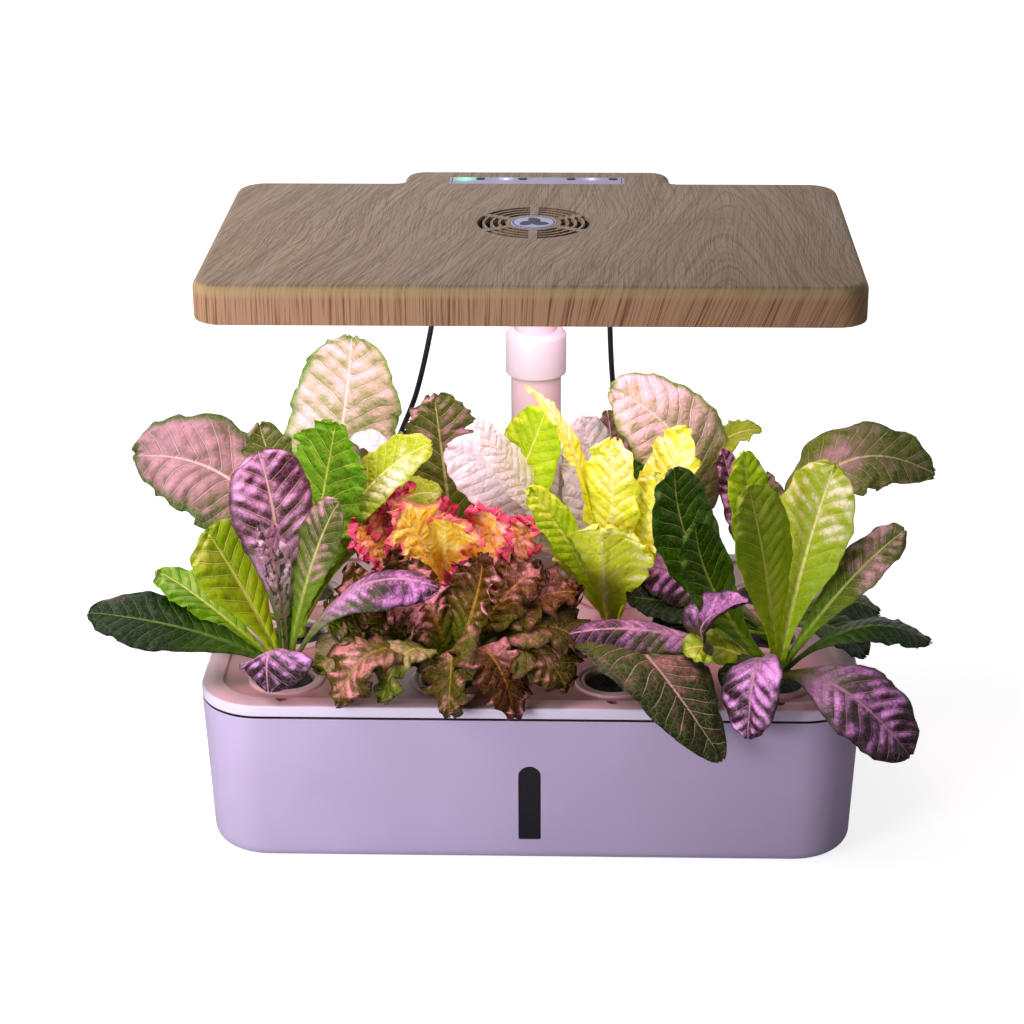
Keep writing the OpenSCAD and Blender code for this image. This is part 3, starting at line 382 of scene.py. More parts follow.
def leaf_skin(name, rough, gloss, crinkle):
    """Lettuce leaf: veins, foot, margin, painted sheen and painted shade follow the leaf's attributes."""

    def paint(tree):
        own = placed(tree)
        vein, rib, edge, along, raised, rising, hem, sheen_share, worn = (
            attribute(tree, name) for name in (*LEAF_FACTS, "Hem", "Sheen Share", "Worn")
        )
        rib = rib.math("ABSOLUTE")
        body, foot, rim, painted_sheen, line = (attribute(tree, name, "Color") for name in LOOK_COLOURS)
        broad = clouds(own, 24, 2, 0.5)
        mottle = clouds(own, 90, 4, 0.6, 0.4)
        fleck = clouds(own, 520, 3, 0.6)
        cells = {"Vector": own, "Scale": 230}
        net = add(tree, "ShaderNodeTexVoronoi", {"feature": "DISTANCE_TO_EDGE"}, cells)
        swell = (vein * math.pi).math("SINE").math("ABSOLUTE")
        slope = (vein * TURN).math("SINE") * rising
        inner = edge.ramp(1.0, 0.7) * rib.ramp(0.6, 3.0)
        # Painted light: lit is high where the leaf faces the lamp and on the upper side of each swelling,
        # and low on the under side.
        lit = raised + (mottle - 0.5) * 0.7 + (broad - 0.5) * 1.5 - slope * inner * 0.09
        lit = lit + net.ramp(0.0, 0.12, -0.1, 0.05) + (fleck - 0.5) * 0.25
        painted_sheen_mask = (lit + sheen_share).ramp(1.26, 1.86) * edge.ramp(1.04, 0.84) * along.ramp(0.12, 0.5)
        branch = swell.ramp(0.16, 0.02) * edge.ramp(0.98, 0.5)
        crease_shade = (swell.ramp(0.1, 0.25) * swell.ramp(0.5, 0.25)) * inner
        stalk = (rib + along * 1.7).ramp(2.3, 1.5)
        line = blend(along.ramp(0.5, 0.1) * 0.75, line, foot)
        skin = blend((along + (mottle - 0.5) * 0.6).ramp(0.15, 0.75), foot, body)
        # Painted shade in the hollows, in the margin colour.
        skin = blend(lit.ramp(0.44, 0.04) * inner * 0.6, skin, rim)
        # Painted sheen: the grow light's pink and a glossy highlight on the swellings that face the lamp.
        skin = blend(painted_sheen_mask, skin, painted_sheen)
        # Painted shade in the creases beside the veins, in the margin colour.
        skin = blend(crease_shade * 0.3, skin, rim)
        skin = blend((edge + mottle * 0.3 - hem).ramp(0.0, 0.24), skin, rim)
        skin = blend(net.ramp(0.06, 0.0) * 0.2, skin, line)
        skin = blend(branch * 0.75, skin, line)
        skin = blend(stalk * 0.92, skin, line)
        # The tattered leaf's holes are painted as dark patches; their dark is painted shade seen through
        # them.
        hole_shade = clouds(own, 260, 2, 0.5).ramp(0.52, 0.6) * worn * 0.9
        skin = blend(hole_shade, skin, tint(54, 58, 34))
        height = swell * 0.45 + net.ramp(0.0, 0.4) * crinkle + fleck * 0.12 + mottle * 0.4
        return {
            "Base Color": skin,
            "Roughness": fleck * 0.14 - painted_sheen_mask * 0.08 + (rough - 0.05),
            "Coat Weight": painted_sheen_mask * gloss,
            "Normal": bump(height - branch * 0.5 - hole_shade, 0.0013, 0.7),
        }

    return finish(name, paint, Coat_Roughness=0.28, Specular_IOR_Level=0.16)


def circuit(name, colour):
    """Circuit board: solder mask with faint tracks."""

    def paint(tree):
        own = placed(tree)
        bricks = {"Vector": own, "Scale": 60, "Mortar Size": 0.03, "Color1": (0, 0, 0, 1)}
        tracks = add(tree, "ShaderNodeTexBrick", None, bricks, out="Fac")
        return {
            "Base Color": blend(tracks * 0.6, colour, shaded(colour, 1.25)),
            "Roughness": clouds(own, 200, 2) * 0.2 + 0.3,
            "Normal": bump(tracks, 0.00005, 0.4),
        }

    return finish(name, paint)


def milky(own, colour, rough):
    """Base colour and roughness of slightly cloudy plastic that lets light through."""
    haze = clouds(own, 60, 2)
    return {
        "Base Color": blend(haze, colour, shaded(colour, 0.94)),
        "Roughness": haze * 0.1 + rough,
    }


def glowing(name, colour, glow, strength, split=None, second=None):
    """A lit piece of plastic. Past split, in X, it glows in the second colour."""

    def paint(tree):
        own = placed(tree)
        painted = milky(own, colour, 0.3)
        if second:
            past = part(own, 0).ramp(split - 0.001, split + 0.001)
            painted["Emission Color"] = blend(past, glow, second)
        return painted

    return finish(name, paint, Emission_Color=glow, Emission_Strength=strength)


def haloed(name, colour, spots):
    """Thin plastic that glows round the lights under it, each given as x, y, reach and colour."""

    def paint(tree):
        own = placed(tree)
        halo = None
        for x, y, reach, glow in spots:
            near = distance(own, metres(x, y, LAMP_TOP)).ramp(reach * MM, 0.0) ** 1.6
            ring = blend(near, (0, 0, 0, 1), glow)
            if halo:
                whole = {0: 1.0, 6: halo, 7: ring}
                settings = {"data_type": "RGBA", "blend_type": "ADD"}
                ring = add(tree, "ShaderNodeMix", settings, whole, out=2)
            halo = ring
        return {**milky(own, colour, 0.4), "Emission Color": halo}

    return finish(name, paint, Emission_Strength=0.9, Specular_IOR_Level=0.12)


# ---- Shapes ----


def arc(cx, cy, r, start, end, steps=10):
    """Points along part of a circle, with its angles in degrees."""
    return [
        (cx + r * math.cos(a), cy + r * math.sin(a))
        for a in np.linspace(math.radians(start), math.radians(end), steps + 1)
    ]


def rounded(w, d, r, cx=0.0, cy=0.0, steps=12):
    """Rounded rectangle, anticlockwise."""
    corners = ((-1, -1, 180), (1, -1, 270), (1, 1, 0), (-1, 1, 90))
    return [
        p
        for sx, sy, a in corners
        for p in arc(cx + sx * (w / 2 - r), cy + sy * (d / 2 - r), r, a, a + 90, steps)
    ]


def level(outline, z):
    return [(x, y, z) for x, y in outline]


def loft(rings, closed=False):
    """Skin through rings of points, capped at both ends, or joined end to end if closed."""
    n = len(rings[0])
    pairs = [(i, i + 1) for i in range(len(rings) - 1)]
    if closed:
        pairs.append((len(rings) - 1, 0))
    faces = [
        (a * n + k, a * n + (k + 1) % n, b * n + (k + 1) % n, b * n + k)
        for a, b in pairs
        for k in range(n)
    ]
    if not closed:
        last = (len(rings) - 1) * n
        faces += [tuple(reversed(range(n))), tuple(range(last, last + n))]
    return [p for ring in rings for p in ring], faces


def prism(outline, z0, z1):
    return loft([level(outline, z0), level(outline, z1)])


def disc(x, y, r, z0, z1, steps):
    return prism(arc(x, y, r, 0, 360, steps)[:-1], z0, z1)


def lathe(profile, x=0.0, y=0.0, steps=64, closed=False):
    """Turned shape from (radius, height) points. Closed is for a profile that is a loop."""
    circle = arc(0, 0, 1, 0, 360, steps)[:-1]
    rings = [[(x + r * u, y + r * v, z) for u, v in circle] for r, z in profile]
    return loft(rings, closed)


def shown(name, mesh):
    piece = bpy.data.objects.new(name, mesh)
    bpy.context.scene.collection.objects.link(piece)
    return piece


def solid(name, *shapes):
    """One mesh object from one or several closed shapes in millimetres."""
    points, faces = [], []
    for shape_points, shape_faces in shapes:
        start = len(points)
        points += [metres(*p) for p in shape_points]
        faces += [tuple(start + k for k in face) for face in shape_faces]
    mesh = bpy.data.meshes.new(name)
    mesh.from_pydata(points, [], faces)
    clean(mesh)
    return shown(name, mesh)


def turned(name, profile, x=0.0, y=0.0, steps=64, closed=False):
    """Turned piece, from what lathe takes."""
    return solid(name, lathe(profile, x, y, steps, closed))


def rework(mesh, change):
    """Run a change on a mesh in its editable form."""
    work = bmesh.new()
    work.from_mesh(mesh)
    change(work)
    work.to_mesh(mesh)
    work.free()


def face_outwards(work):
    bmesh.ops.recalc_face_normals(work, faces=work.faces)


def clean(mesh, crease=CREASE, flat=False):
    """Merge doubles, point the faces outwards and smooth all but the sharp edges."""

    def change(work):
        bmesh.ops.remove_doubles(work, verts=work.verts, dist=2e-6)
        if flat:
            limit = math.radians(0.6)
            bmesh.ops.dissolve_limit(work, angle_limit=limit, verts=work.verts, edges=work.edges)
        face_outwards(work)

    rework(mesh, change)
    mesh.shade_smooth()
    mesh.set_sharp_from_angle(angle=math.radians(crease))


def keep(piece):
    """Make what the modifiers show the piece's own mesh."""
    bpy.context.view_layer.update()
    ready = piece.evaluated_get(bpy.context.evaluated_depsgraph_get())
    mesh = bpy.data.meshes.new_from_object(ready)
    piece.modifiers.clear()
    old, piece.data = piece.data, mesh
    bpy.data.meshes.remove(old)


def combine(piece, operation, *shapes):
    """Join shapes to a piece, or cut them out of it."""
    tool = solid("tool", *shapes)
    step = piece.modifiers.new("shape", "BOOLEAN")
    step.operation = operation
    step.object = tool
    step.solver = "EXACT"
    keep(piece)
    clean(piece.data)
    bpy.data.objects.remove(tool)


def join(piece, other):
    """Put another object's mesh into a piece."""
    rework(piece.data, lambda work: work.from_mesh(other.data))
    bpy.data.objects.remove(other)


def inlay(piece, other, *skins):
    """Put another object's mesh into a piece, in the second of the piece's two finishes."""
    first = len(piece.data.polygons)
    join(piece, other)
    for face in piece.data.polygons[first:]:
        face.material_index = 1
    for skin in skins:
        piece.data.materials.append(skin)
    return piece


def soften(piece, width, steps=2, angle=40):
    """Small radius in millimetres along the sharp edges."""
    edge = piece.modifiers.new("edge", "BEVEL")
    edge.width = width * MM
    edge.segments = steps
    edge.limit_method = "ANGLE"
    edge.angle_limit = math.radians(angle)
    edge.harden_normals = True
    return piece


def settle(piece, material, *nodes):
    """Give a piece its finish and put it in place of the frame's nodes."""
    if material is not None:
        piece.data.materials.clear()
        piece.data.materials.append(material)
    if "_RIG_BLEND" not in piece.data.attributes:
        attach(piece, BODY_OF[nodes[0]])
    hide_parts(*nodes)
    return piece


def dress(node, edge, material):
    """Smooth copy of a frame node with softened edges, settled in the node's place."""
    source = frame["nodes"][node].data
    mesh = bpy.data.meshes.new(node)
    faces = [tuple(p.vertices) for p in source.polygons]
    mesh.from_pydata([v.co for v in source.vertices], [], faces)
    clean(mesh, 30, flat=True)
    return settle(soften(shown(node + "_made", mesh), edge), material, node)


# ---- Repeats in geometry nodes ----


def instances(points, given, **more):
    """The given shape at each point."""
    tree = points.tree
    shape = add(tree, "GeometryNodeObjectInfo", None, {"Object": given["Shape"]}, out="Geometry")
    values = {"Points": points, "Instance": shape, **more}
    return add(tree, "GeometryNodeInstanceOnPoints", None, values)


def centred(geometry, given):
    values = {"Geometry": geometry, "Translation": given["Centre"]}
    return add(geometry.tree, "GeometryNodeTransform", None, values)


def in_rows(tree, given):
    """A shape on a grid, left out round one spot."""
    size = {
        "Size X": (given["Columns"] - 1) * given["Across"],
        "Size Y": (given["Rows"] - 1) * given["Deep"],
        "Vertices X": given["Columns"],
        "Vertices Y": given["Rows"],
    }
    grid = centred(add(tree, "GeometryNodeMeshGrid", None, size), given)
    far = distance(add(tree, "GeometryNodeInputPosition"), given["Clear Spot"])
    limit = {0: far, 1: given["Clear Radius"]}
    near = add(tree, "FunctionNodeCompare", {"operation": "LESS_THAN"}, limit)
    cleared = {"Geometry": grid, 1: near}
    grid = add(tree, "GeometryNodeDeleteGeometry", {"domain": "POINT"}, cleared)
    return instances(grid, given)


def in_a_ring(tree, given):
    """A shape turned round an upright axis in equal steps."""
    line = add(tree, "GeometryNodeMeshLine", None, {"Count": given["Count"], "Offset": (0, 0, 0)})
    step = add(tree, "GeometryNodeInputIndex") * TURN / given["Count"]
    turn = add(tree, "FunctionNodeAxisAngleToRotation", None, {"Axis": (0, 0, 1), "Angle": step})
    return centred(instances(line, given, Rotation=turn), given)


def at_points(tree, given):
    """A shape at each point of the piece's own mesh."""
    return instances(given["Geometry"], given)


def along_path(tree, given):
    """A round lead swept along the piece's own line of edges."""
    path = add(tree, "GeometryNodeMeshToCurve", None, {"Mesh": given["Geometry"]})
    section = {"Resolution": given["Sides"], "Radius": given["Radius"]}
    ring = add(tree, "GeometryNodeCurvePrimitiveCircle", None, section)
    swept = {"Curve": path, "Profile Curve": ring, "Fill Caps": True}
    tube = add(tree, "GeometryNodeCurveToMesh", None, swept)
    return add(tree, "GeometryNodeSetShadeSmooth", None, {"Geometry": tube})


# Each layout: what builds it and its inputs
LAYOUTS = {
    "shapes in rows": (in_rows, (
        ("Shape", "Object"), ("Columns", "Int"), ("Rows", "Int"), ("Across", "Float"),
        ("Deep", "Float"), ("Centre", "Vector"), ("Clear Spot", "Vector"),
        ("Clear Radius", "Float"),
    )),
    "in a ring": (in_a_ring, (("Shape", "Object"), ("Count", "Int"), ("Centre", "Vector"))),
    "at points": (at_points, (("Shape", "Object"),)),
    "lead along a path": (along_path, (("Radius", "Float"), ("Sides", "Int"))),
}


def layout_tree(name):
    """A geometry tree with named inputs that ends in plain geometry with a material."""
    tree = bpy.data.node_groups.get(name)
    if tree:
        return tree
    build, inputs = LAYOUTS[name]
    tree = bpy.data.node_groups.new(name, "GeometryNodeTree")
    tree.is_modifier = True
    face = tree.interface
    for way in ("INPUT", "OUTPUT"):
        face.new_socket("Geometry", in_out=way, socket_type="NodeSocketGeometry")
    for label, kind in (*inputs, ("Finish", "Material")):
        face.new_socket(label, in_out="INPUT", socket_type="NodeSocket" + kind)
    source = tree.nodes.new("NodeGroupInput")
    given = {s.name: Flow(tree, s) for s in source.outputs if s.name}
    made = add(tree, "GeometryNodeRealizeInstances", None, {0: build(tree, given)})
    covered = {"Geometry": made, "Material": given["Finish"]}
    made = add(tree, "GeometryNodeSetMaterial", None, covered)
    sink = tree.nodes.new("NodeGroupOutput")
    tree.links.new(made.socket, sink.inputs[0])
    return tree


def lay_out(name, layout, material, base=((), ()), shape=None, **values):
    """Run a layout on a base of points and edges, and keep the result as a plain mesh."""
    mesh = bpy.data.meshes.new(name)
    mesh.from_pydata([metres(*p) for p in base[0]], list(base[1]), [])
    piece = shown(name, mesh)
    values.update(Finish=material, Shape=shape)
    step = piece.modifiers.new("layout", "NODES")
    step.node_group = layout_tree(layout)
    for item in step.node_group.interface.items_tree:
        if item.in_out == "INPUT" and item.name in values:
            step[item.identifier] = values[item.name]
    keep(piece)
    if shape is not None:
        bpy.data.objects.remove(shape)
    if not piece.data.polygons:
        raise RuntimeError(f"{name} came out empty")
    return piece


# ---- Leads ----

PIGTAIL = [
    (-66, 130, 320), (-66, 130, 314), (-67, 131, 292), (-70, 133, 263), (-81, 135, 215),
    (-95, 138, 177), (-100, 136, 147), (-92, 127, 126), (-88, 124.5, 117), (-88, 124.5, 112),
]
PUMP_LEAD = [
    (50, 130, 320), (50, 130, 314), (49, 131, 292), (48, 133, 263), (51, 137, 215),
    (58, 140, 177), (60, 132, 147), (52, 110, 128), (46, 97, 112), (46, 97, 96),
    (38, 91, 78), (22, 76, 70), (8, 54, 62), (0, 30, 42), (0, 20, 42),
]
ADAPTER_LEAD = [
    (-88, 124.5, 60), (-88, 124.5, 54), (-88, 125.5, 36), (-88, 129.5, 14),
    (-88, 141.5, 3), (-89, 156.5, 2), (-88.7, 172, 2), (-88.7, 187, 2),
]
TAIL = [
    (-35.3, 186, 5), (-35.3, 174, 2), (-29.5, 162, 3), (-16, 158, 5), (-11, 167, 9),
    (-11, 178, 9),
]


def smooth_route(route, step=3.0):
    """Catmull-Rom points along a route."""
    points = []
    last = len(route) - 1
    for i in range(last):
        p0, p1, p2, p3 = (
            np.array(route[min(max(k, 0), last)], float) for k in range(i - 1, i + 3)
        )
        count = max(1, round(float(np.linalg.norm(p2 - p1)) / step))
        square = 2 * p0 - 5 * p1 + 4 * p2 - p3
        cube = 3 * p1 - p0 - 3 * p2 + p3
        for t in np.arange(count) / count:
            points.append(0.5 * (2 * p1 + (p2 - p0) * t + square * t * t + cube * t**3))
    points.append(np.array(route[-1], float))
    return [tuple(p) for p in points]


def coil_route(x, y, outer, inner, turns, pitch, low):
    """Flat spiral in, up one layer and out again, clockwise from the left to the right side."""
    total = 2 * turns - 0.5
    points = []
    for share in np.linspace(0, 1, int(total * 28)):
        turn = share * total
        inwards = min(turn, total - turn) / (total / 2)
        r = outer - (outer - inner) * inwards
        climb = min(max((share - 0.47) / 0.06, 0), 1)
        angle = math.pi - turn * TURN
        points.append((x + r * math.cos(angle), y + r * math.sin(angle), low + pitch * climb))
    return points


def free_lead(name, nodes, route, lower, upper, start, end):
    """A lead that bends between two bodies."""
    radius = bpy.context.scene.garden_sizes.lead_diameter / 2
    base = route, [(i, i + 1) for i in range(len(route) - 1)]
    piece = lay_out(name, "lead along a path", black_rubber(), base, Radius=radius, Sides=14)
    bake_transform(piece, lower, upper, start=metres(*start), end=metres(*end))
    settle(piece, None, *nodes)
    metres(*route[0])
    [metres(*p) for p in route]


# ---- Lettuces ----

# Each look: blade, foot, margin, painted sheen and vein colours, how much painted sheen it gets,
# where the margin's colour starts, how far it puckers and how far its margin waves, in
# millimetres. The painted sheen is the grow light's pink and a glossy highlight, painted on the
# swellings that face the lamp; the margin colour also serves as painted shade in the hollows.
# Some blade colours, the pale and pinkish ones, also carry part of the grow light's pink as
# painted light.
LOOKS = {
    "plum": ((96, 46, 70), (84, 112, 16), (44, 24, 34), (246, 176, 228), (236, 194, 168),
        1.0, 1.02, 1.6, 0.8),
    "aubergine": ((48, 22, 34), (96, 122, 20), (16, 8, 12), (250, 160, 244), (204, 146, 166),
        0.94, 1.0, 1.7, 0.8),
    "plum_green": ((74, 84, 30), (108, 148, 6), (56, 40, 36), (214, 152, 168), (196, 200, 104),
        0.8, 1.04, 1.2, 1.0),
    "tatter": ((196, 140, 172), (120, 128, 64), (130, 80, 100), (246, 214, 234), (190, 160, 130),
        0.95, 1.04, 1.6, 1.6),
    "dusk": ((10, 36, 2), (70, 104, 12), (16, 12, 12), (150, 88, 110), (110, 132, 62),
        0.56, 0.96, 1.0, 1.2),
    "forest": ((36, 84, 0), (104, 148, 2), (22, 42, 2), (96, 138, 20), (188, 204, 84),
        0.72, 1.04, 1.0, 1.2),
    "leaf_green": ((142, 176, 0), (192, 210, 8), (66, 100, 4), (206, 212, 70), (250, 248, 120),
        0.76, 1.06, 0.9, 1.0),
    "grass": ((92, 150, 0), (134, 176, 8), (58, 112, 0), (150, 194, 30), (228, 234, 100),
        0.78, 1.2, 1.0, 2.0),
    "celery": ((158, 184, 14), (158, 194, 0), (186, 202, 70), (248, 244, 214), (238, 242, 150),
        0.76, 1.0, 1.0, 1.4),
    "lemon": ((246, 250, 56), (222, 236, 0), (230, 240, 30), (255, 255, 180), (255, 254, 176),
        0.9, 1.2, 1.1, 2.4),
    "lime": ((168, 216, 0), (196, 226, 4), (140, 190, 0), (216, 236, 60), (236, 246, 116),
        0.8, 1.2, 0.8, 1.4),
    "chalk": ((252, 240, 240), (226, 236, 150), (224, 224, 196), (255, 252, 255), (255, 252, 254),
        1.5, 1.1, 1.0, 1.2),
    "pale": ((194, 184, 140), (160, 182, 64), (104, 146, 30), (246, 214, 216), (250, 242, 228),
        0.94, 0.94, 1.6, 1.6),
    "rosy": ((132, 104, 96), (140, 136, 84), (76, 104, 34), (206, 152, 166), (238, 206, 200),
        0.92, 0.9, 1.5, 1.8),
    "sage": ((84, 102, 32), (112, 138, 26), (56, 78, 16), (192, 148, 158), (204, 202, 140),
        0.76, 1.05, 1.2, 2.0),
    "olive": ((48, 62, 4), (74, 88, 10), (20, 32, 0), (204, 134, 132), (222, 190, 178),
        0.7, 0.96, 1.3, 1.2),
    "ruby": ((248, 190, 60), (220, 200, 30), (246, 78, 124), (255, 200, 196), (250, 222, 120),
        0.9, 0.7, 1.4, 4.8),
    "amber": ((255, 212, 40), (232, 208, 10), (250, 116, 120), (255, 240, 130), (255, 242, 140),
        0.86, 0.84, 1.6, 3.8),
    "bronze": ((88, 46, 6), (100, 112, 4), (44, 8, 8), (252, 160, 176), (184, 134, 48),
        0.8, 0.94, 1.7, 3.6),
    "umber": ((72, 62, 2), (86, 98, 4), (54, 14, 4), (234, 140, 142), (146, 124, 38),
        0.72, 0.92, 1.5, 3.4),
    "moss": ((96, 110, 10), (96, 124, 6), (60, 34, 6), (216, 164, 136), (182, 184, 78),
        0.78, 0.96, 1.5, 3.2),
}

# Each leaf form: neck width, where the blade starts and is full, how blunt the tip is, how much
# it tapers, how many waves its margin has, how deep its notches are and how far apart
FORMS = {
    "spoon": (0.16, 0.1, 0.68, 7, 0.0, 4, 0.04, 7),
    "paddle": (0.14, 0.16, 0.8, 6, 0.0, 3, 0.03, 8),
    "pointed": (0.12, -0.05, 0.36, 2.6, 0.35, 3, 0.04, 8),
    "round_leaf": (0.12, 0.02, 0.55, 5, 0.0, 5, 0.06, 8),
    "frilled": (0.2, 0.02, 0.75, 8, 0.0, 9, 0.3, 4.4),
    "lobed": (0.22, 0.0, 0.6, 6, 0.0, 5, 0.55, 9),
    "toothed": (0.14, 0.0, 0.62, 5, 0.0, 5, 0.3, 4),
}

# Each lettuce: pod column and row, leaf form, finish, and leaves as tip, bend, width, cup, roll,
# look and a form where it isn't the plant's, with the tip and the bend measured from the crown
LETTUCES = {
    "front_left_romaine": (0, 0, "spoon", "purple", [
        ((-118, -4, 41), (-39, -10, 36), 50, 8, -25, "dusk", "paddle"),
        ((-80, 24, 56), (-54, 16, 46), 36, 10, -5, "grass"),
        ((-46, 6, 91), (-31, 5, 68), 56, 10, -30, "leaf_green"),
        ((-15, 26, 134), (-2, 19, 95), 56, 8, 0, "plum"),
        ((-13, -2, 97), (0, 5, 73), 26, 12, -40, "tatter"),
        ((34, 14, 107), (15, 13, 77), 36, 12, 25, "plum_green"),
        ((94, -4, 59), (36, -2, 83), 36, -22, 20, "aubergine"),
        ((-7, -38, 6), (-9, -33, 51), 60, -12, 20, "aubergine", "paddle"),
    ]),
    "middle_left_lettuce": (0, 1, "spoon", "yellow", [
        ((86, 10, 122), (29, 7, 99), 40, 10, 30, "celery"),
        ((26, 22, 131), (17, 17, 83), 70, 8, 10, "grass", "toothed"),
        ((15, 32, 92), (40, 24, 79), 28, 10, -10, "chalk"),
        ((90, 22, 83), (52, 17, 96), 34, 12, 20, "celery"),
        ((-50, -30, 4), (-31, -17, 32), 30, 12, -5, "forest"),
        ((3, -6, 50), (5, -1, 23), 28, 12, 15, "sage"),
    ]),
    "back_left_lettuce": (0, 2, "round_leaf", "pale", [
        ((-109, -4, 93), (-34, 2, 99), 76, 6, -45, "rosy"),
        ((-32, 28, 104), (-18, 14, 60), 46, 10, -10, "sage"),
        ((29, 44, 159), (24, 30, 87), 80, 6, 20, "pale"),
        ((-57, -14, 52), (-29, -1, 45), 40, 10, -35, "sage"),
    ]),
    "bronze_frilled_lettuce": (1, 0, "lobed", "bronze", [
        ((-39, 4, 41), (-10, 2, 47), 42, 12, -20, "umber"),
        ((-79, -16, 11), (-50, -12, 35), 42, 10, -15, "moss"),
        ((-64, -44, 1), (-47, -34, 58), 40, 10, -10, "umber"),
        ((-38, -42, 2), (-22, -31, 56), 34, 10, 0, "moss"),
        ((2, -51, -2), (6, -30, 58), 42, 10, 40, "umber"),
        ((41, -50, -3), (27, -31, 58), 46, 10, -5, "bronze"),
        ((71, -34, 7), (54, -20, 50), 42, 10, 20, "umber"),
        ((83, -6, 20), (59, -9, 58), 38, 12, 15, "umber"),
        ((78, 18, 46), (44, 11, 57), 44, 12, 15, "bronze"),
        ((55, 22, 61), (34, 13, 55), 42, 12, 15, "bronze"),
        ((21, 10, 74), (20, 7, 48), 36, 15, 20, "bronze"),
        ((-20, 12, 41), (-8, 6, 49), 44, 12, -10, "bronze"),
        ((-60, 30, 58), (-49, 13, 36), 42, 12, -15, "umber"),
        ((-26, 30, 62), (-26, 9, 40), 42, 12, 0, "umber"),
        ((-74, 20, 40), (-58, 6, 33), 38, 12, -15, "moss"),
    ]),
    "red_frilled_lettuce": (1, 1, "frilled", "red", [
        ((-62, -8, 75), (-38, -9, 61), 40, 12, -35, "ruby"),
        ((-53, 10, 83), (-26, 7, 62), 42, 12, -30, "ruby"),
        ((-35, 18, 88), (-21, 11, 62), 46, 12, -15, "ruby"),
        ((-34, -14, 86), (-11, -9, 62), 50, 14, -60, "amber", "lobed"),
        ((-4, -10, 81), (-6, -7, 58), 46, 12, -5, "amber", "lobed"),
        ((-20, 26, 78), (-9, 15, 56), 42, 12, 5, "ruby"),
        ((29, -4, 82), (18, -2, 51), 46, 12, 55, "ruby"),
        ((50, 6, 70), (32, 5, 47), 42, 12, 35, "ruby"),
        ((14, -34, 63), (7, -27, 35), 40, 12, 5, "ruby"),
        ((-40, -26, 59), (-28, -19, 39), 36, 12, -60, "bronze"),
    ]),
    "back_centre_lettuce": (1, 2, "round_leaf", "pale", [
        ((-16, 22, 127), (-10, 13, 80), 62, 10, 0, "sage", "toothed"),
        ((57, -6, 128), (41, -5, 76), 56, 8, 55, "lime"),
        ((-37, 8, 106), (-19, 8, 53), 36, 10, -30, "sage"),
        ((-71, 20, 95), (-36, 14, 115), 30, 10, -15, "chalk"),
    ]),
    "yellow_romaine": (2, 1, "spoon", "yellow", [
        ((-7, -18, 78), (-7, -15, 42), 62, 10, 10, "lemon"),
        ((0, 10, 125), (-1, 7, 71), 44, 12, -35, "lemon"),
        ((28, -2, 107), (20, -3, 66), 36, 14, 50, "lemon"),
        ((-53, 40, 148), (-12, 20, 123), 26, 8, 20, "lemon"),
        ((-52, -16, 103), (-22, -16, 66), 28, 12, -55, "lime"),
        ((45, 22, 128), (32, 17, 87), 44, 12, 15, "lemon"),
        ((64, -128, -23), (14, -112, 54), 84, 6, -10, "olive", "pointed"),
    ]),
    "back_right_lettuce": (2, 2, "round_leaf", "pale", [
        ((-105, -20, 107), (-52, -18, 77), 54, 8, -60, "chalk"),
        ((-86, -31, 129), (-69, -32, 98), 32, 8, -45, "chalk"),
        ((-20, 8, 118), (-11, 4, 64), 52, 10, -30, "chalk"),
        ((-3, 36, 111), (5, 22, 69), 34, 10, -40, "rosy"),
        ((10, 26, 99), (11, 15, 59), 34, 10, -15, "forest"),
        ((97, 34, 99), (58, 35, 105), 34, 10, 5, "leaf_green", "frilled"),
        ((-33, -8, 97), (-40, -8, 52), 34, 10, -60, "chalk"),
        ((-2, 0, 140), (101, 8, 85), 76, 6, -50, "pale"),
    ]),
    "far_right_lettuce": (3, 2, "round_leaf", "pale", [
        ((106, -4, 84), (29, -2, 130), 56, 8, 35, "sage"),
        ((-29, 8, 96), (-15, 4, 49), 30, 12, -30, "plum"),
        ((0, 20, 75), (3, 10, 41), 38, 12, -35, "sage"),
    ]),
    "middle_right_lettuce": (3, 1, "spoon", "purple", [
        ((69, 4, 12), (43, 2, 35), 34, -12, 20, "dusk"),
        ((57, -36, 1), (33, -26, 32), 30, 12, 10, "dusk"),
        ((-83, 2, 45), (-42, -1, 48), 44, -20, -25, "aubergine"),
        ((-90, -14, 30), (-46, -9, 24), 38, 12, -25, "dusk"),
        ((-20, 4, 120), (-10, 2, 58), 34, 12, -45, "lime"),
        ((-74, -24, 11), (-44, -20, 17), 42, 10, -20, "forest"),
    ]),
    "front_right_romaine": (3, 0, "spoon", "purple", [
        ((-63, 24, 126), (-65, 20, 69), 52, 10, -25, "forest"),
        ((-51, 6, 98), (-49, 5, 54), 44, 12, -35, "forest"),
        ((-21, -2, 125), (-6, -3, 70), 46, 14, -55, "leaf_green"),
        ((32, 22, 130), (16, 17, 80), 56, 10, 15, "celery"),
        ((73, 2, 96), (38, -1, 68), 36, 12, 25, "plum_green"),
        ((91, -4, 26), (47, -6, 57), 26, -12, 15, "dusk"),
        ((76, -54, -25), (32, -41, 31), 54, 8, 20, "aubergine"),
        ((-20, -58, -12), (-18, -43, 60), 46, 8, 20, "aubergine", "paddle"),
        ((-32, -26, 4), (-18, -19, 34), 26, 12, 0, "dusk"),
        ((-19, -20, 59), (-81, -18, 39), 34, -18, -25, "aubergine"),
        ((-141, -8, 26), (-77, -8, 52), 34, -22, -20, "aubergine"),
        ((-57, -14, 24), (-34, -13, 33), 30, 8, -20, "leaf_green"),
    ]),
}
CROWN_Z = 103.5
LEAF_FOOT = 5

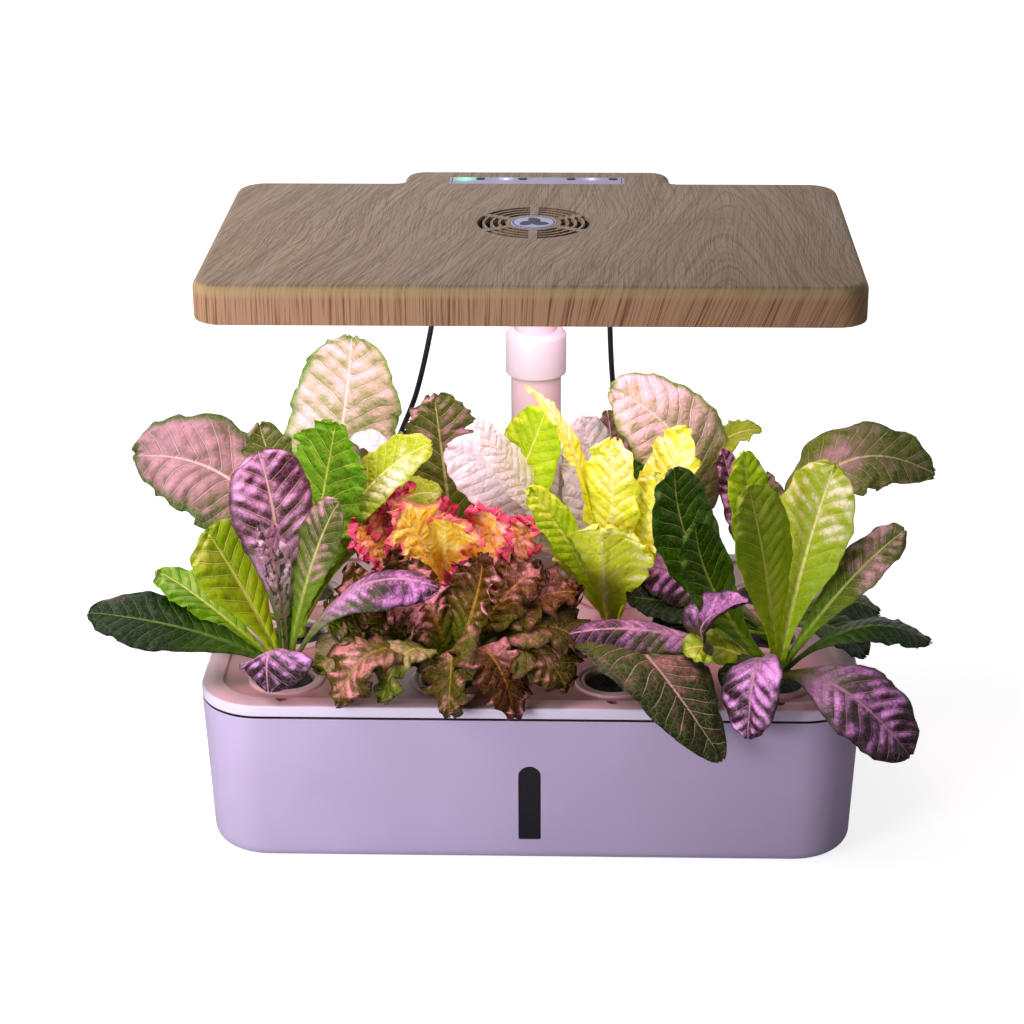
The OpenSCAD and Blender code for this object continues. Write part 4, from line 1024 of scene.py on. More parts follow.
# What a leaf's skin reads at each point, and the colours that its look gives
LEAF_FACTS = ("Vein", "Rib", "Edge", "Along", "Lamp Facing", "Rising")
LOOK_COLOURS = ("Body", "Foot", "Rim", "Painted Sheen", "Line")


def wander(x, y, seed):
    """Smooth seeded noise at a point, about -1 to 1."""
    return noise.noise(Vector((x, y, seed * 7.31)))


def eased(x, low, high):
    t = np.clip((x - low) / (high - low), 0, 1)
    return t * t * (3 - 2 * t)


def leaf_grid(leaf, plant_form, seed, rows, columns):
    """A leaf's middle surface as a grid of points, with what its skin needs to know."""
    tip, bend, width, cup, roll, look, *own_form = leaf
    form = FORMS[own_form[0] if own_form else plant_form]
    neck, start, full, blunt, taper, waves, notch, tooth = form
    pucker, wave = LOOKS[look][7:]
    tip, bend = np.array(tip, float), np.array(bend, float)
    s = 1 - (1 - np.linspace(0, 1, rows)) ** 1.35
    s[-1] = 0.998
    rib = np.outer(2 * s * (1 - s), bend) + np.outer(s * s, tip)
    ahead = np.outer(1 - s, bend) + np.outer(s, tip - bend)
    ahead /= np.linalg.norm(ahead, axis=1)[:, None]
    flat = np.array([-tip[1], tip[0], 0.0])
    side = flat - (ahead @ flat)[:, None] * ahead
    side /= np.linalg.norm(side, axis=1)[:, None]
    up = np.cross(ahead, side)
    lean = math.radians(roll)
    across = math.cos(lean) * side + math.sin(lean) * up
    face = np.cross(ahead, across)
    far = np.concatenate([[0], np.cumsum(np.linalg.norm(np.diff(rib, axis=0), axis=1))])
    half = width / 2 * (neck + (1 - neck) * eased(s, start, full)) * np.sqrt(1 - s**blunt)
    half *= 1 - taper * eased(s, 0.4, 1.15)
    j = np.sin(np.linspace(-1, 1, columns) * 1.2) / math.sin(1.2)
    edge = np.abs(j)[None, :] * np.ones((rows, 1))
    tipward = np.clip(1 - (far[-1] - far) / (0.34 * width), 0, 1)[:, None]
    hem = np.maximum(edge, tipward**1.4)
    ragged = np.array(
        [[1 + notch * (0.5 - 2 * abs(wander(a / tooth, b * 0.7, seed))) for b in (-1, 1)] for a in far]
    )
    reach = np.where(j < 0, ragged[:, :1], ragged[:, 1:]) * half[:, None]
    d = j[None, :] * reach
    shake, blister = (
        np.array([[wander(a / size, b / size, seed + k) for b in row] for a, row in zip(far, d)])
        for size, k in ((21, 3), (7, 5))
    )
    root = far[:, None] - (0.85 * np.abs(d) - 0.007 * d * d)
    vein_gap = 4.6 + width * 0.07
    vein = root / vein_gap + 0.35 * shake + 0.38 * (j < 0)[None, :]
    swell = np.abs(np.sin(math.pi * vein)) ** 0.7 * (0.65 + 0.9 * shake)
    blade = eased(s, start, full)[:, None]
    middle = 1 - np.exp(-((d / 3.2) ** 2))
    lift = math.sin(math.radians(cup)) * np.abs(d) - 0.12 * reach * edge**3
    lift += pucker * (0.6 * swell + 0.9 * blister) * middle * (1 - 0.8 * edge**5) * blade
    phase = np.where(j < 0, 1.7, 4.1)[None, :] + seed
    beat = TURN * waves * s[:, None] + phase + 4 * shake + 5 * j[None, :] * tipward
    ruffle = (np.sin(beat) + 0.5 * np.sin(2.7 * beat + 1.3)) * (0.75 + 1.1 * blister)
    lift += wave * ruffle * hem**2.4 * blade
    stretch = d * (1 + 0.06 * np.cos(beat) * edge**2 * blade * min(wave, 3) / 2)
    lean_in = wave * 0.6 * np.cos(1.6 * beat) * hem**3 * blade
    grid = (
        rib[:, None, :]
        + stretch[:, :, None] * across[:, None, :]
        + lift[:, :, None] * face[:, None, :]
        + lean_in[:, :, None] * ahead[:, None, :]
    )
    along = s[:, None] * np.ones((1, columns))
    normal = np.cross(np.gradient(grid, axis=0), np.gradient(grid, axis=1))
    normal /= np.linalg.norm(normal, axis=2)[:, :, None] + 1e-9
    # How far each point faces the grow light above: the skin paints sheen where this is high and shade where
    # it is low.
    above = np.array((-0.3, -0.2, 0.93))
    lit = np.abs(normal @ above)
    raised = 0.5 + lit - 0.3 * np.abs(face @ above)[:, None] - 0.7 * lit.mean()
    rising = ahead[:, 2:] * np.ones((1, columns))
    facts = dict(zip(LEAF_FACTS, (vein, d, hem, along, raised, rising)))
    return grid, normal, facts


def leaf_shell(leaf, form, seed, rows, columns):
    """A leaf as a thin closed shell: points, faces and values at its points."""
    grid, normal, facts = leaf_grid(leaf, form, seed, rows, columns)
    ridge = np.exp(-((facts["Rib"] / 1.9) ** 2)) * (2.4 * (1 - facts["Along"]) ** 1.5 + 0.35)
    thick = 0.32 * (1 - 0.6 * facts["Edge"] ** 4)
    top = grid + normal * (thick - 0.15 * ridge)[:, :, None]
    low = grid - normal * (thick + ridge)[:, :, None]
    points = np.concatenate([top.reshape(-1, 3), low.reshape(-1, 3)])
    n = rows * columns

    def at(i, k):
        return i * columns + k

    faces = []
    for i in range(rows - 1):
        for k in range(columns - 1):
            a, b, c, e = at(i, k), at(i + 1, k), at(i + 1, k + 1), at(i, k + 1)
            faces += [(a, b, c, e), (n + e, n + c, n + b, n + a)]
    rim = [at(0, k) for k in range(columns)]
    rim += [at(i, columns - 1) for i in range(1, rows)]
    rim += [at(rows - 1, k) for k in range(columns - 2, -1, -1)]
    rim += [at(i, 0) for i in range(rows - 2, 0, -1)]
    for a, b in zip(rim, rim[1:] + rim[:1]):
        faces.append((a, b, n + b, n + a))
    values = {name: np.tile(value.ravel(), 2) for name, value in facts.items()}
    return points, faces, values


def crown():
    """The stem stump that the leaves grow from."""
    profile = [(4.4, 0), (5, 1.5), (4.8, 4), (3.6, 6.5), (1.6, 7.6)]
    points, faces = lathe(profile, steps=14)
    count = len(points)
    values = {name: np.zeros(count) for name in LEAF_FACTS}
    return np.array(points) - (0, 0, LEAF_FOOT), faces, values


def lettuce(node, column, row, form, skin, leaves, rows, columns):
    """One lettuce, rooted in its pod."""
    shells = [(crown(), leaves[0][5])]
    for i, leaf in enumerate(leaves):
        seed = i + 11 * column + 5 * row
        shells.append((leaf_shell(leaf, form, seed, rows, columns), leaf[5]))
    points, faces, marks = [], [], {}
    for (shape, shape_faces, values), look in shells:
        start = sum(len(p) for p in points)
        points.append(shape)
        faces += [tuple(start + k for k in face) for face in shape_faces]
        count = len(shape)
        for name, value in values.items():
            marks.setdefault(name, []).append(value)
        *colours, sheen_share, hem, _, _ = LOOKS[look]
        for name, value in (("Sheen Share", sheen_share), ("Hem", hem), ("Worn", float(look == "tatter"))):
            marks.setdefault(name, []).append(np.full(count, value))
        for name, colour in zip(LOOK_COLOURS, colours):
            marks.setdefault(name, []).append(np.tile(tint(*colour), (count, 1)))
    foot = np.array([POD_X[column], POD_Y[row], CROWN_Z + LEAF_FOOT])
    mesh = bpy.data.meshes.new(node)
    mesh.from_pydata([tuple(p) for p in (np.concatenate(points) + foot) * MM], [], faces)
    for name, parts in marks.items():
        whole = np.concatenate(parts).astype(np.float32)
        if whole.ndim == 1:
            mesh.attributes.new(name, "FLOAT", "POINT").data.foreach_set("value", whole)
        else:
            paint = mesh.attributes.new(name, "FLOAT_COLOR", "POINT")
            paint.data.foreach_set("color", whole.ravel())
    rework(mesh, face_outwards)
    mesh.shade_smooth()
    return settle(shown(node.replace("_lettuce", "") + "_plant", mesh), skin, node)


# ---- Signs ----


def petals(count, x, y, z, inner, outer, width, twist=0.0, height=0.15):
    """Flat petals or fan blades round a point, each a closed plate."""
    shapes = []
    for i in range(count):
        base = math.pi / 2 + i * TURN / count
        outline = []
        for side in (1, -1):
            for t in np.linspace(0, 1, 9)[:: side]:
                r = inner + (outer - inner) * t
                swing = side * width * math.sin(math.pi * min(t * 0.86 + 0.1, 1)) ** 0.8 / r
                a = base + swing + twist * (t - 0.7)
                outline.append((x + r * math.cos(a), y + r * math.sin(a)))
        shapes.append(prism(outline, z, z + height))
    return shapes


def open_ring(x, y, z, inner, outer, height, gap):
    """Flat ring, open towards the back by gap degrees."""
    start, end = 90 + gap / 2, 450 - gap / 2
    outline = arc(x, y, outer, start, end, 40) + arc(x, y, inner, end, start, 40)
    return prism(outline, z, z + height)


# ---- What a user can change ----


class GardenSizes(bpy.types.PropertyGroup):
    """Sizes of the finer shapes."""

    lead_diameter: bpy.props.FloatProperty(
        name="Lead", description="Diameter of the leads", default=0.0036, unit="LENGTH"
    )
    leaf_rows: bpy.props.IntProperty(
        name="Leaf rows", description="Points along a leaf", default=54, min=12
    )
    leaf_columns: bpy.props.IntProperty(
        name="Leaf columns", description="Points across a leaf", default=31, min=9
    )
    fan_blades: bpy.props.IntProperty(
        name="Fan blades", description="Blades on the fan", default=7, min=3
    )
    guard_rings: bpy.props.IntProperty(
        name="Guard rings", description="Rings of slots in the fan guard", default=4, min=1
    )
    glow: bpy.props.FloatProperty(
        name="Glow", description="Strength of the lit lamp panel", default=4.4
    )


class GardenColours(bpy.types.PropertyGroup):
    """Main colours."""

    # The tank's default lilac is painted light: its plastic is white, tinted by the violet grow light.
    tank: bpy.props.FloatVectorProperty(
        name="Tank", description="Tank plastic", subtype="COLOR", size=4,
        default=tint(196, 178, 216),
    )
    # The deck's default pink is painted light and shade: its plastic is white, tinted by the pink grow light
    # and darkened by the leaves' shade.
    deck: bpy.props.FloatVectorProperty(
        name="Deck", description="Deck plastic", subtype="COLOR", size=4,
        default=tint(194, 136, 142),
    )
    mast: bpy.props.FloatVectorProperty(
        name="Mast", description="Mast tubes", subtype="COLOR", size=4,
        default=tint(240, 216, 221),
    )
    basket: bpy.props.FloatVectorProperty(
        name="Baskets", description="Net baskets", subtype="COLOR", size=4,
        default=tint(206, 180, 172),
    )
    light: bpy.props.FloatVectorProperty(
        name="Grow light", description="Colour of the lit panel", subtype="COLOR", size=4,
        default=(1.0, 0.64, 0.78, 1),
    )


def white_plastic():
    return moulded("white moulded plastic", tint(232, 226, 232), 0.36)


def dark_plastic():
    return moulded("dark key plastic", tint(44, 40, 66), 0.45, Specular_IOR_Level=0.03)


def pale_plastic():
    return moulded("pale lilac plastic", tint(168, 164, 204), 0.45, Specular_IOR_Level=0.12)


def black_rubber():
    return rubber("black lead jacket", tint(26, 18, 34), 0.5)


# ---- Operators ----

# Camera: focal length in picture widths, its height, heading and roll in degrees, the point it
# is turned to and how far it stands from that, in metres
SENSOR = 36
FOCAL = 2471.25 / 1024
CAMERA_TURN = (22.5, -1.77, -0.29)
CAMERA_TARGET = (-0.01334, 0, 0.1838)
CAMERA_FAR = 1.5432

# Soft lamps: name, place, size in metres, power in watts and target
LAMPS = (
    ("key", (-0.42, -0.6, 0.27), 0.3, 2.9, (-0.06, 0, 0.14)),
    ("top", (-0.6, -0.12, 1.0), 0.6, 6.0, (0, 0, 0.36)),
    ("back", (-0.3, 1.3, 0.9), 1.0, 4, (0, 0, 0.2)),
)


class GARDEN_OT_stage(bpy.types.Operator):
    """Floor, camera and soft studio light"""

    bl_idname = "garden.stage"
    bl_label = "Stage"

    def execute(self, context):
        self.camera(context)
        self.floor()
        self.world(context)
        for name, place, size, power, target in LAMPS:
            light = bpy.data.lights.new(name, "AREA")
            light.energy, light.size = power, size
            lamp = bpy.data.objects.new(name, light)
            lamp.location = place
            aim = Vector(target) - lamp.location
            lamp.rotation_euler = aim.to_track_quat("-Z", "Y").to_euler()
            context.scene.collection.objects.link(lamp)
        context.scene.view_settings.view_transform = "Standard"
        return {"FINISHED"}

    def camera(self, context):
        """Camera from its height, heading and roll round its target."""
        height, heading, roll = (math.radians(a) for a in CAMERA_TURN)
        east, north = math.sin(heading), math.cos(heading)
        ahead = Vector((east * math.cos(height), north * math.cos(height), -math.sin(height)))
        right = Vector((north, -east, 0))
        up = right.cross(ahead)
        turned_right = right * math.cos(roll) + up * math.sin(roll)
        turned_up = up * math.cos(roll) - right * math.sin(roll)
        data = bpy.data.cameras.new("camera")
        data.sensor_width, data.lens = SENSOR, FOCAL * SENSOR
        data.clip_start, data.clip_end = 0.05, 30
        camera = bpy.data.objects.new("camera", data)
        axes = Matrix((turned_right, turned_up, -ahead)).transposed()
        eye = Vector(CAMERA_TARGET) - ahead * CAMERA_FAR
        camera.matrix_world = Matrix.Translation(eye) @ axes.to_4x4()
        context.scene.collection.objects.link(camera)
        context.scene.camera = camera

    def floor(self):
        """Pale floor that looks white but keeps the shadow."""
        made = bpy.data.materials.new("pale floor")
        made.use_nodes = True
        tree = made.node_tree
        tree.nodes.clear()
        grain = clouds(placed(tree), 3, 2) * 0.02 + 0.62
        tone = add(tree, "ShaderNodeCombineColor", None, {0: grain, 1: grain, 2: grain})
        paper = add(tree, "ShaderNodeBsdfDiffuse", None, {"Color": tone})
        seen = add(tree, "ShaderNodeLightPath", out="Is Camera Ray")
        out = distance(placed(tree), (0, 0, 0)).ramp(0.2, 0.8, 0.8, 1.0)
        glow = add(tree, "ShaderNodeEmission", None, {"Strength": seen * out})
        both = add(tree, "ShaderNodeAddShader", None, {0: paper, 1: glow})
        sink = tree.nodes.new("ShaderNodeOutputMaterial")
        tree.links.new(both.socket, sink.inputs["Surface"])
        wide = 9000
        ground = solid("floor", prism(rounded(wide, wide, 60), -20, 0))
        ground.data.materials.append(made)

    def world(self, context):
        """White to the camera and to reflections, softer as a light."""
        sky = bpy.data.worlds.new("studio")
        context.scene.world = sky
        sky.use_nodes = True
        tree = sky.node_tree
        tree.nodes.clear()
        soft, white = (
            add(tree, "ShaderNodeBackground", None, {"Color": (1, 1, 1, 1), "Strength": strength})
            for strength in (0.12, 1.0)
        )
        seen = add(tree, "ShaderNodeLightPath", out="Is Camera Ray")
        for ray in ("Is Glossy Ray", "Is Transmission Ray"):
            seen = seen.math("MAXIMUM", add(tree, "ShaderNodeLightPath", out=ray))
        both = add(tree, "ShaderNodeMixShader", None, {0: seen, 1: soft, 2: white})
        sink = tree.nodes.new("ShaderNodeOutputWorld")
        tree.links.new(both.socket, sink.inputs["Surface"])


class GARDEN_OT_leads(bpy.types.Operator):
    """Lamp lead with its connector, pump lead, adapter lead with its coil, and the adapter"""

    bl_idname = "garden.leads"
    bl_label = "Leads and adapter"

    def execute(self, context):
        jacket = black_rubber()
        outline = [
            (1.9, 112), (2.6, 112), (3, 111.4), (4.7, 107.6), (5, 107), (5, 104), (4.8, 103.6),
            (4.8, 102.8), (5, 102.4), (5, 98), (4.8, 97.6), (4.8, 96.8), (5, 96.4), (5, 88.4),
            (4.4, 88), (4.4, 87), (4.8, 86.8), (4.8, 73), (4.2, 71), (3.4, 69.4), (3.4, 68.6),
            (3.2, 67), (2.8, 66.6), (2.8, 65.6), (3, 65), (2.5, 62.4), (2.3, 60), (1.9, 60),
        ]
        connector = turned("lead_connector", outline, *CLIP, 40)
        settle(connector, jacket, "dc_connector")
        free_lead(
            "lamp_lead", ["lamp_pigtail"], smooth_route(PIGTAIL), "deck", "lamp",
            PIGTAIL[-1], PIGTAIL[0],
        )
        free_lead(
            "pump_supply_lead", ["pump_lead"], smooth_route(PUMP_LEAD), "deck", "lamp",
            (*PUMP_HOLE, 112), PUMP_LEAD[0],
        )
        tie = dress("coil_tie", 0.25, jacket)
        brick = self.adapter()
        pins = dress("adapter_pins", 0.2, metal("bright steel", tint(200, 200, 205), 0.3))
        coil = coil_route(x=-62, y=196, outer=26.7, inner=12.3, turns=5, pitch=3.6, low=2)
        route = smooth_route(ADAPTER_LEAD)[:-1] + smooth_route([ADAPTER_LEAD[-1], coil[0]])[:-1]
        route += coil[:-1] + smooth_route([coil[-1], *TAIL])
        free_lead(
            "adapter_supply_lead", ["adapter_lead", "lead_coil"], route, "tank", "deck",
            (-88.7, 160, 2), ADAPTER_LEAD[0],
        )
        return {"FINISHED"}

    def adapter(self):
        """Adapter body with a sunk panel and the ribbed sleeve of its lead."""
        x, _, z = TAIL[-1]
        brick = solid("adapter_case", prism(rounded(34, 60, 5, x, 220, 8), 0, 30))
        combine(brick, "DIFFERENCE", prism(rounded(26, 44, 3, x, 222, 8), 29.4, 31))
        soften(brick, 1.6, 4)
        sleeve = [
            (2.0, 178), (2.6, 178), (2.9, 181), (2.6, 181.4), (3.2, 184), (2.9, 184.4),
            (3.6, 187), (3.3, 187.4), (4.6, 190.5), (1.9, 190.5),
        ]
        points, faces = lathe(sleeve, steps=32)
        join(brick, solid("sleeve", ([(px + x, pz, py + z) for px, py, pz in points], faces)))
        shell = moulded("black adapter plastic", tint(34, 32, 36), 0.5, grain=0.00004, size=500)
        return settle(brick, shell, "power_adapter")


def tank_wall(z):
    """How far the tank's side has leant in at a height."""
    return 3.5 * (98 - z) / 89 if z > 9 else 3.5


def tank_ring(inset, z):
    """The tank's plan pulled in by inset, at a height."""
    width, depth = TANK_WIDTH - 2 * inset, TANK_DEPTH - 2 * inset
    return level(rounded(width, depth, TANK_CORNER - 0.7 * inset, steps=18), z)


def window_outline(grow, corner=1.0):
    """The level window's outline in X and Z: a round top and small lower corners."""
    w, low, high = 6.7 + grow, 15.5 - grow, 66.5 + grow
    left = arc(corner - w, low + corner, corner, 180, 270, 4)
    right = arc(w - corner, low + corner, corner, 270, 360, 4)
    return left + right + arc(0, high - w, w, 0, 180, 28)


class GARDEN_OT_tank(bpy.types.Operator):
    """Tank shell, level window, its gasket and the rubber pads"""

    bl_idname = "garden.tank"
    bl_label = "Tank"

    def execute(self, context):
        foot = [
            (3.5 + 9 * (1 - math.sin(a)), 9 * (1 - math.cos(a)))
            for a in np.linspace(0, math.pi / 2, 10)
        ]
        inner = [
            (6.01 + 6.4 * (1 - math.sin(a)), 9 - 6.4 * math.cos(a))
            for a in np.linspace(math.pi / 2, 0, 7)
        ]
        profile = [
            *foot, (1.75, 53.5), (0, 97.3), (0.15, 97.8), (0.6, 98), (4.7, 98), (5.2, 97.6),
            (5.2, 90), (2.7, 90), *inner,
        ]
        tank = solid("tank_body", loft([tank_ring(i, z) for i, z in profile]))
        slot = loft([[(x, y, z) for x, z in window_outline(0)] for y in (-130, -105)])
        seats = [disc(x, y, 8, -1, 1.2, 32) for x, y in TANK_FEET]
        combine(tank, "DIFFERENCE", slot, *seats)
        soften(tank, 0.45, 3)
        # The tank's lilac is painted grow light on white plastic; its seam with the deck is darkened with
        # painted shade.
        shell = moulded(
            "tank plastic", tuple(context.scene.garden_colours.tank), 0.4, grain=0.00003,
            size=420, shaded_joint=(97.75, 99), Coat_Weight=0.1, Coat_Roughness=0.35,
        )
        settle(tank, shell, "tank_shell")
        panes = [
            [(x, tank_wall(z) - TANK_DEPTH / 2 + y, z) for x, z in window_outline(-0.12)]
            for y in (0.35, 2.4)
        ]
        window = soften(solid("level_window_pane", loft(panes)), 0.5, 3)
        smoke = tint(18, 14, 26)
        smoked = moulded("smoked window", smoke, 0.3, grain=0.00001, Specular_IOR_Level=0.3)
        settle(window, smoked, "level_window")
        seal = rubber("grey seal rubber", tint(58, 58, 62), 0.6)
        dress("window_gasket", 0.3, seal)
        pad = [(6.6, 0.25), (7.4, 0), (7.9, 0.3), (7.9, 1.15), (1, 1.15), (1, 0.25)]
        pads = solid("tank_feet", *[lathe(pad, x, y, 40) for x, y in TANK_FEET])
        settle(pads, seal, "tank_pads")
        return {"FINISHED"}


class GARDEN_OT_deck(bpy.types.Operator):
    """Deck panel with its flange, pod rings, vents and lead clip"""

    bl_idname = "garden.deck"
    bl_label = "Deck"

    def execute(self, context):
        profile = [
            (8.2, 102), (8.2, 91), (5.8, 91), (5.8, 98.3), (2, 98.3), (2, 99.2), (0.3, 99.2),
            (0, 99.5), (0, 104.8), (0.35, 105.55), (1.2, 106), (11.9, 106), (12.4, 105.85),
            (12.7, 105.4), (12.9, 104.8), (13.3, 104.5), (14, 104.4),
        ]
        boss = [
            (24.3, 103), (24.3, 104.42), (23.7, 104.55), (23.3, 105), (23.1, 105.5),
            (22.7, 105.9), (22.2, 106.05),
        ]
        pad = [(28, 103), (28, 104.42), (27.5, 104.6), (27.2, 105.2), (27, 105.7), (26.4, 106.02)]
        seat = [(18.6, 100), (18.6, 104.5), (21.35, 104.5), (21.35, 108)]
        x, y = CLIP
        clip = (
            arc(x, y, 7.4, 60, -60, 12)
            + [(x + 3.5, 115), (x - 3.5, 115)]
            + arc(x, y, 7.4, 240, 120, 12)
            + arc(x, y, 5.1, 120, 420, 30)
        )
        pods = [(px, py) for px in POD_X for py in POD_Y]
        deck = solid("deck_body", loft([tank_ring(i, z) for i, z in profile]))
        raised = [lathe(boss, *pod, 72) for pod in pods]
        raised += [lathe(pad, 0, MAST_Y, 72), prism(clip, 99.2, 104.8)]
        low, high = 100, 108
        combine(deck, "UNION", *raised)
        holes = [lathe(seat, *pod, 72) for pod in pods]
        holes += [disc(px, -106, 3.4, low, high, 36) for px in POD_X]
        holes += [disc(0, MAST_Y, 17.95, low, high, 72), disc(*PUMP_HOLE, 3.8, low, high, 32)]
        combine(deck, "DIFFERENCE", *holes)
        soften(deck, 0.3, 2, 50)
        # The deck's colour is painted pink grow light and leaf shade on white plastic; its seam is darkened
        # with painted shade, and its crest and outer wall are painted paler as painted light.
        shell = moulded(
            "deck plastic", tuple(context.scene.garden_colours.deck), 0.3, size=500,
            shaded_joint=(97, 99.25), lit_crest=105.4, Specular_IOR_Level=0.3,
        )
        settle(deck, shell, "deck_panel")
        return {"FINISHED"}


class GARDEN_OT_pods(bpy.types.Operator):
    """Net baskets and growing sponges in every pod"""

    bl_idname = "garden.pods"
    bl_label = "Baskets and sponges"

    def execute(self, context):
        rows = {
            "Columns": len(POD_X), "Rows": len(POD_Y), "Across": (POD_X[1] - POD_X[0]) * MM,
            "Deep": (POD_Y[1] - POD_Y[0]) * MM, "Centre": metres(0, POD_Y[1], 0),
        }
        profile = [
            (16.7, 104.2), (16.9, 105.2), (17.5, 105.75), (18.3, 105.6), (18.8, 105.2),
            (19.3, 105.25), (19.9, 105.9), (20.5, 106.05), (21.0, 105.8), (21.2, 105.3),
            (21.2, 104.55), (18.3, 104.55), (17.9, 99), (14.3, 56.6), (13.7, 56), (10.4, 56),
            (10.4, 57.4), (12.9, 57.4), (16.3, 96),
        ]
        basket = turned("basket", profile, steps=56, closed=True)
        cuts = []
        for turn in np.arange(8) * TURN / 8:
            u, v = math.cos(turn), math.sin(turn)
            corners = ((8, -2.2), (21, -2.2), (21, 2.2), (8, 2.2))
            window = [(r * u - w * v, r * v + w * u) for r, w in corners]
            cuts += [prism(window, z0, z1) for z0, z1 in ((60, 70), (73, 83), (86, 95))]
        combine(basket, "DIFFERENCE", *cuts)
        plug = [
            (0.6, 100.9), (2.4, 101.2), (6, 102.9), (10, 103.4), (14.2, 103.3), (15.2, 102.4),
            (15.1, 95), (14.2, 88), (13.2, 78), (12.6, 71.6), (11, 71.5),
        ]
        sponge = turned("sponge", plug, steps=40)
        for v in sponge.data.vertices:
            v.co *= 1 + 0.006 * wander(v.co.x * 400, v.co.y * 400, v.co.z * 60)
        net = moulded("basket plastic", tuple(context.scene.garden_colours.basket), 0.42)
        black = foam("black growing sponge", tint(20, 18, 20))
        for name, shape, skin, node in (
            ("net_baskets", basket, net, "baskets"),
            ("growing_sponges", sponge, black, "grow_sponges"),
        ):
            settle(lay_out(name, "shapes in rows", skin, shape=shape, **rows), skin, node)
        return {"FINISHED"}


class GARDEN_OT_lettuces(bpy.types.Operator):
    """All eleven lettuces"""

    bl_idname = "garden.lettuces"
    bl_label = "Lettuces"

    def execute(self, context):
        sizes = context.scene.garden_sizes
        skins = {
            "purple": leaf_skin("purple romaine leaf", 0.38, 0.8, 0.25),
            "pale": leaf_skin("pale broad leaf", 0.5, 0.1, 0.45),
            "yellow": leaf_skin("yellow leaf", 0.46, 0.2, 0.5),
            "red": leaf_skin("red frilled leaf", 0.42, 0.3, 0.9),
            "bronze": leaf_skin("bronze frilled leaf", 0.4, 0.7, 0.8),
        }
        grid = sizes.leaf_rows, sizes.leaf_columns
        for node, (column, row, form, skin, leaves) in LETTUCES.items():
            lettuce(node, column, row, form, skins[skin], leaves, *grid)
        return {"FINISHED"}


class GARDEN_OT_mast(bpy.types.Operator):
    """Lower tube, foot, nut, collet, lock collar, sliding tube, bush and socket"""

    bl_idname = "garden.mast"
    bl_label = "Mast"

    def execute(self, context):
        tube = moulded(
            "satin mast tube", tuple(context.scene.garden_colours.mast), 0.3, grain=0.00001,
            size=900, Coat_Weight=0.2, Coat_Roughness=0.2,
        )
        white = white_plastic()

        def upright(name, profile, skin, node):
            settle(turned(name, profile, 0, MAST_Y, 96, True), skin, node)

        lower = [(16.2, 106), (16.2, 261.6), (15.9, 262), (15.2, 262), (15, 261.7), (15, 106)]
        upright("lower_tube", lower, tube, "outer_pole")
        foot = [
            (17.8, 93), (17.8, 106), (25, 106), (25, 108.6), (24.3, 109.6), (23.2, 110),
            (20.6, 110.3), (19.6, 111.2), (19.2, 112.6), (19.2, 121), (18.6, 122), (16.4, 122),
            (16.25, 121.8), (16.25, 106), (14.1, 106), (14.1, 93),
        ]
        upright("mast_foot", foot, white, "pole_foot")
        ring = [(17.85, 94), (20, 94), (20, 102), (17.85, 102)]
        nut = turned("mast_nut", ring, 0, MAST_Y, 48, True)
        rib = solid("rib", prism(rounded(1.6, 1.8, 0.6, 20, 0, 4), 94.6, 101.4))
        centre = metres(0, MAST_Y, 0)
        join(nut, lay_out("nut_grips", "in a ring", white, shape=rib, Count=16, Centre=centre))
        settle(nut, white, "pole_nut")
        dress("collet", 0.15, moulded("collet plastic", tint(190, 190, 196), 0.4))
        collar = [
            (16.5, 246), (18.9, 246), (19.4, 246.3), (19.6, 247), (19.6, 271.6), (19.4, 272.4),
            (17.2, 274.9), (16.2, 275.5), (13.6, 275.5), (13.4, 275.3), (13.4, 272.5),
            (15.4, 272.5), (17.9, 265.3), (17.9, 248.7), (16.5, 248.7),
        ]
        upright("lock_collar_ring", collar, white, "lock_collar")
        sliding = [(13.1, 172), (13.1, 353), (11.9, 353), (11.9, 172)]
        upright("sliding_tube", sliding, tube, "inner_pole")
        dress("guide_bush", 0.2, white)
        dress("lamp_socket", 0.3, white)
        return {"FINISHED"}


class GARDEN_OT_pump(bpy.types.Operator):
    """Submersible pump on its hanger, with its filter sponge and grommet"""

    bl_idname = "garden.pump"
    bl_label = "Pump"

    def execute(self, context):
        black = moulded("pump plastic", tint(38, 38, 42), 0.5, grain=0.00004, size=500)
        dress("pump_hanger", 0.5, white_plastic())
        dress("pump_housing", 0.7, black)
        dress("pump_cover", 0.4, black)
        dress("pump_rotor", 0.2, moulded("impeller plastic", tint(222, 208, 180), 0.4))
        sponge = solid("filter_sponge", prism(rounded(36, 40, 5, 0, -2), 13.5, 24.5))
        soften(sponge, 1.2, 3)
        settle(sponge, foam("filter foam", tint(26, 26, 28)), "pump_sponge")
        profile = [
            (1.85, 102.1), (3.75, 102.1), (3.75, 104.45), (5.6, 104.45), (5.8, 104.8),
            (5.8, 105.9), (5.3, 106.4), (2.3, 106.4), (1.85, 106),
        ]
        grommet = turned("lead_grommet", profile, *PUMP_HOLE, 40, True)
        settle(grommet, rubber("grommet rubber", tint(30, 28, 32)), "pump_grommet")
        return {"FINISHED"}


def lamp_outline(inset):
    """The lamp head's plan with its rear bump, pulled in by inset."""
    r, bump_r, hollow = 18 - inset, 13 - inset, 6 + inset
    return (
        arc(-172, -94, r, 180, 270, 10)
        + arc(172, -94, r, 270, 360, 10)
        + arc(172, 95, r, 0, 90, 10)
        + arc(91, 119, hollow, 270, 180, 8)
        + arc(72, 129, bump_r, 0, 90, 8)
        + arc(-72, 129, bump_r, 90, 180, 8)
        + arc(-91, 119, hollow, 0, -90, 8)
        + arc(-172, 95, r, 90, 180, 10)
    )


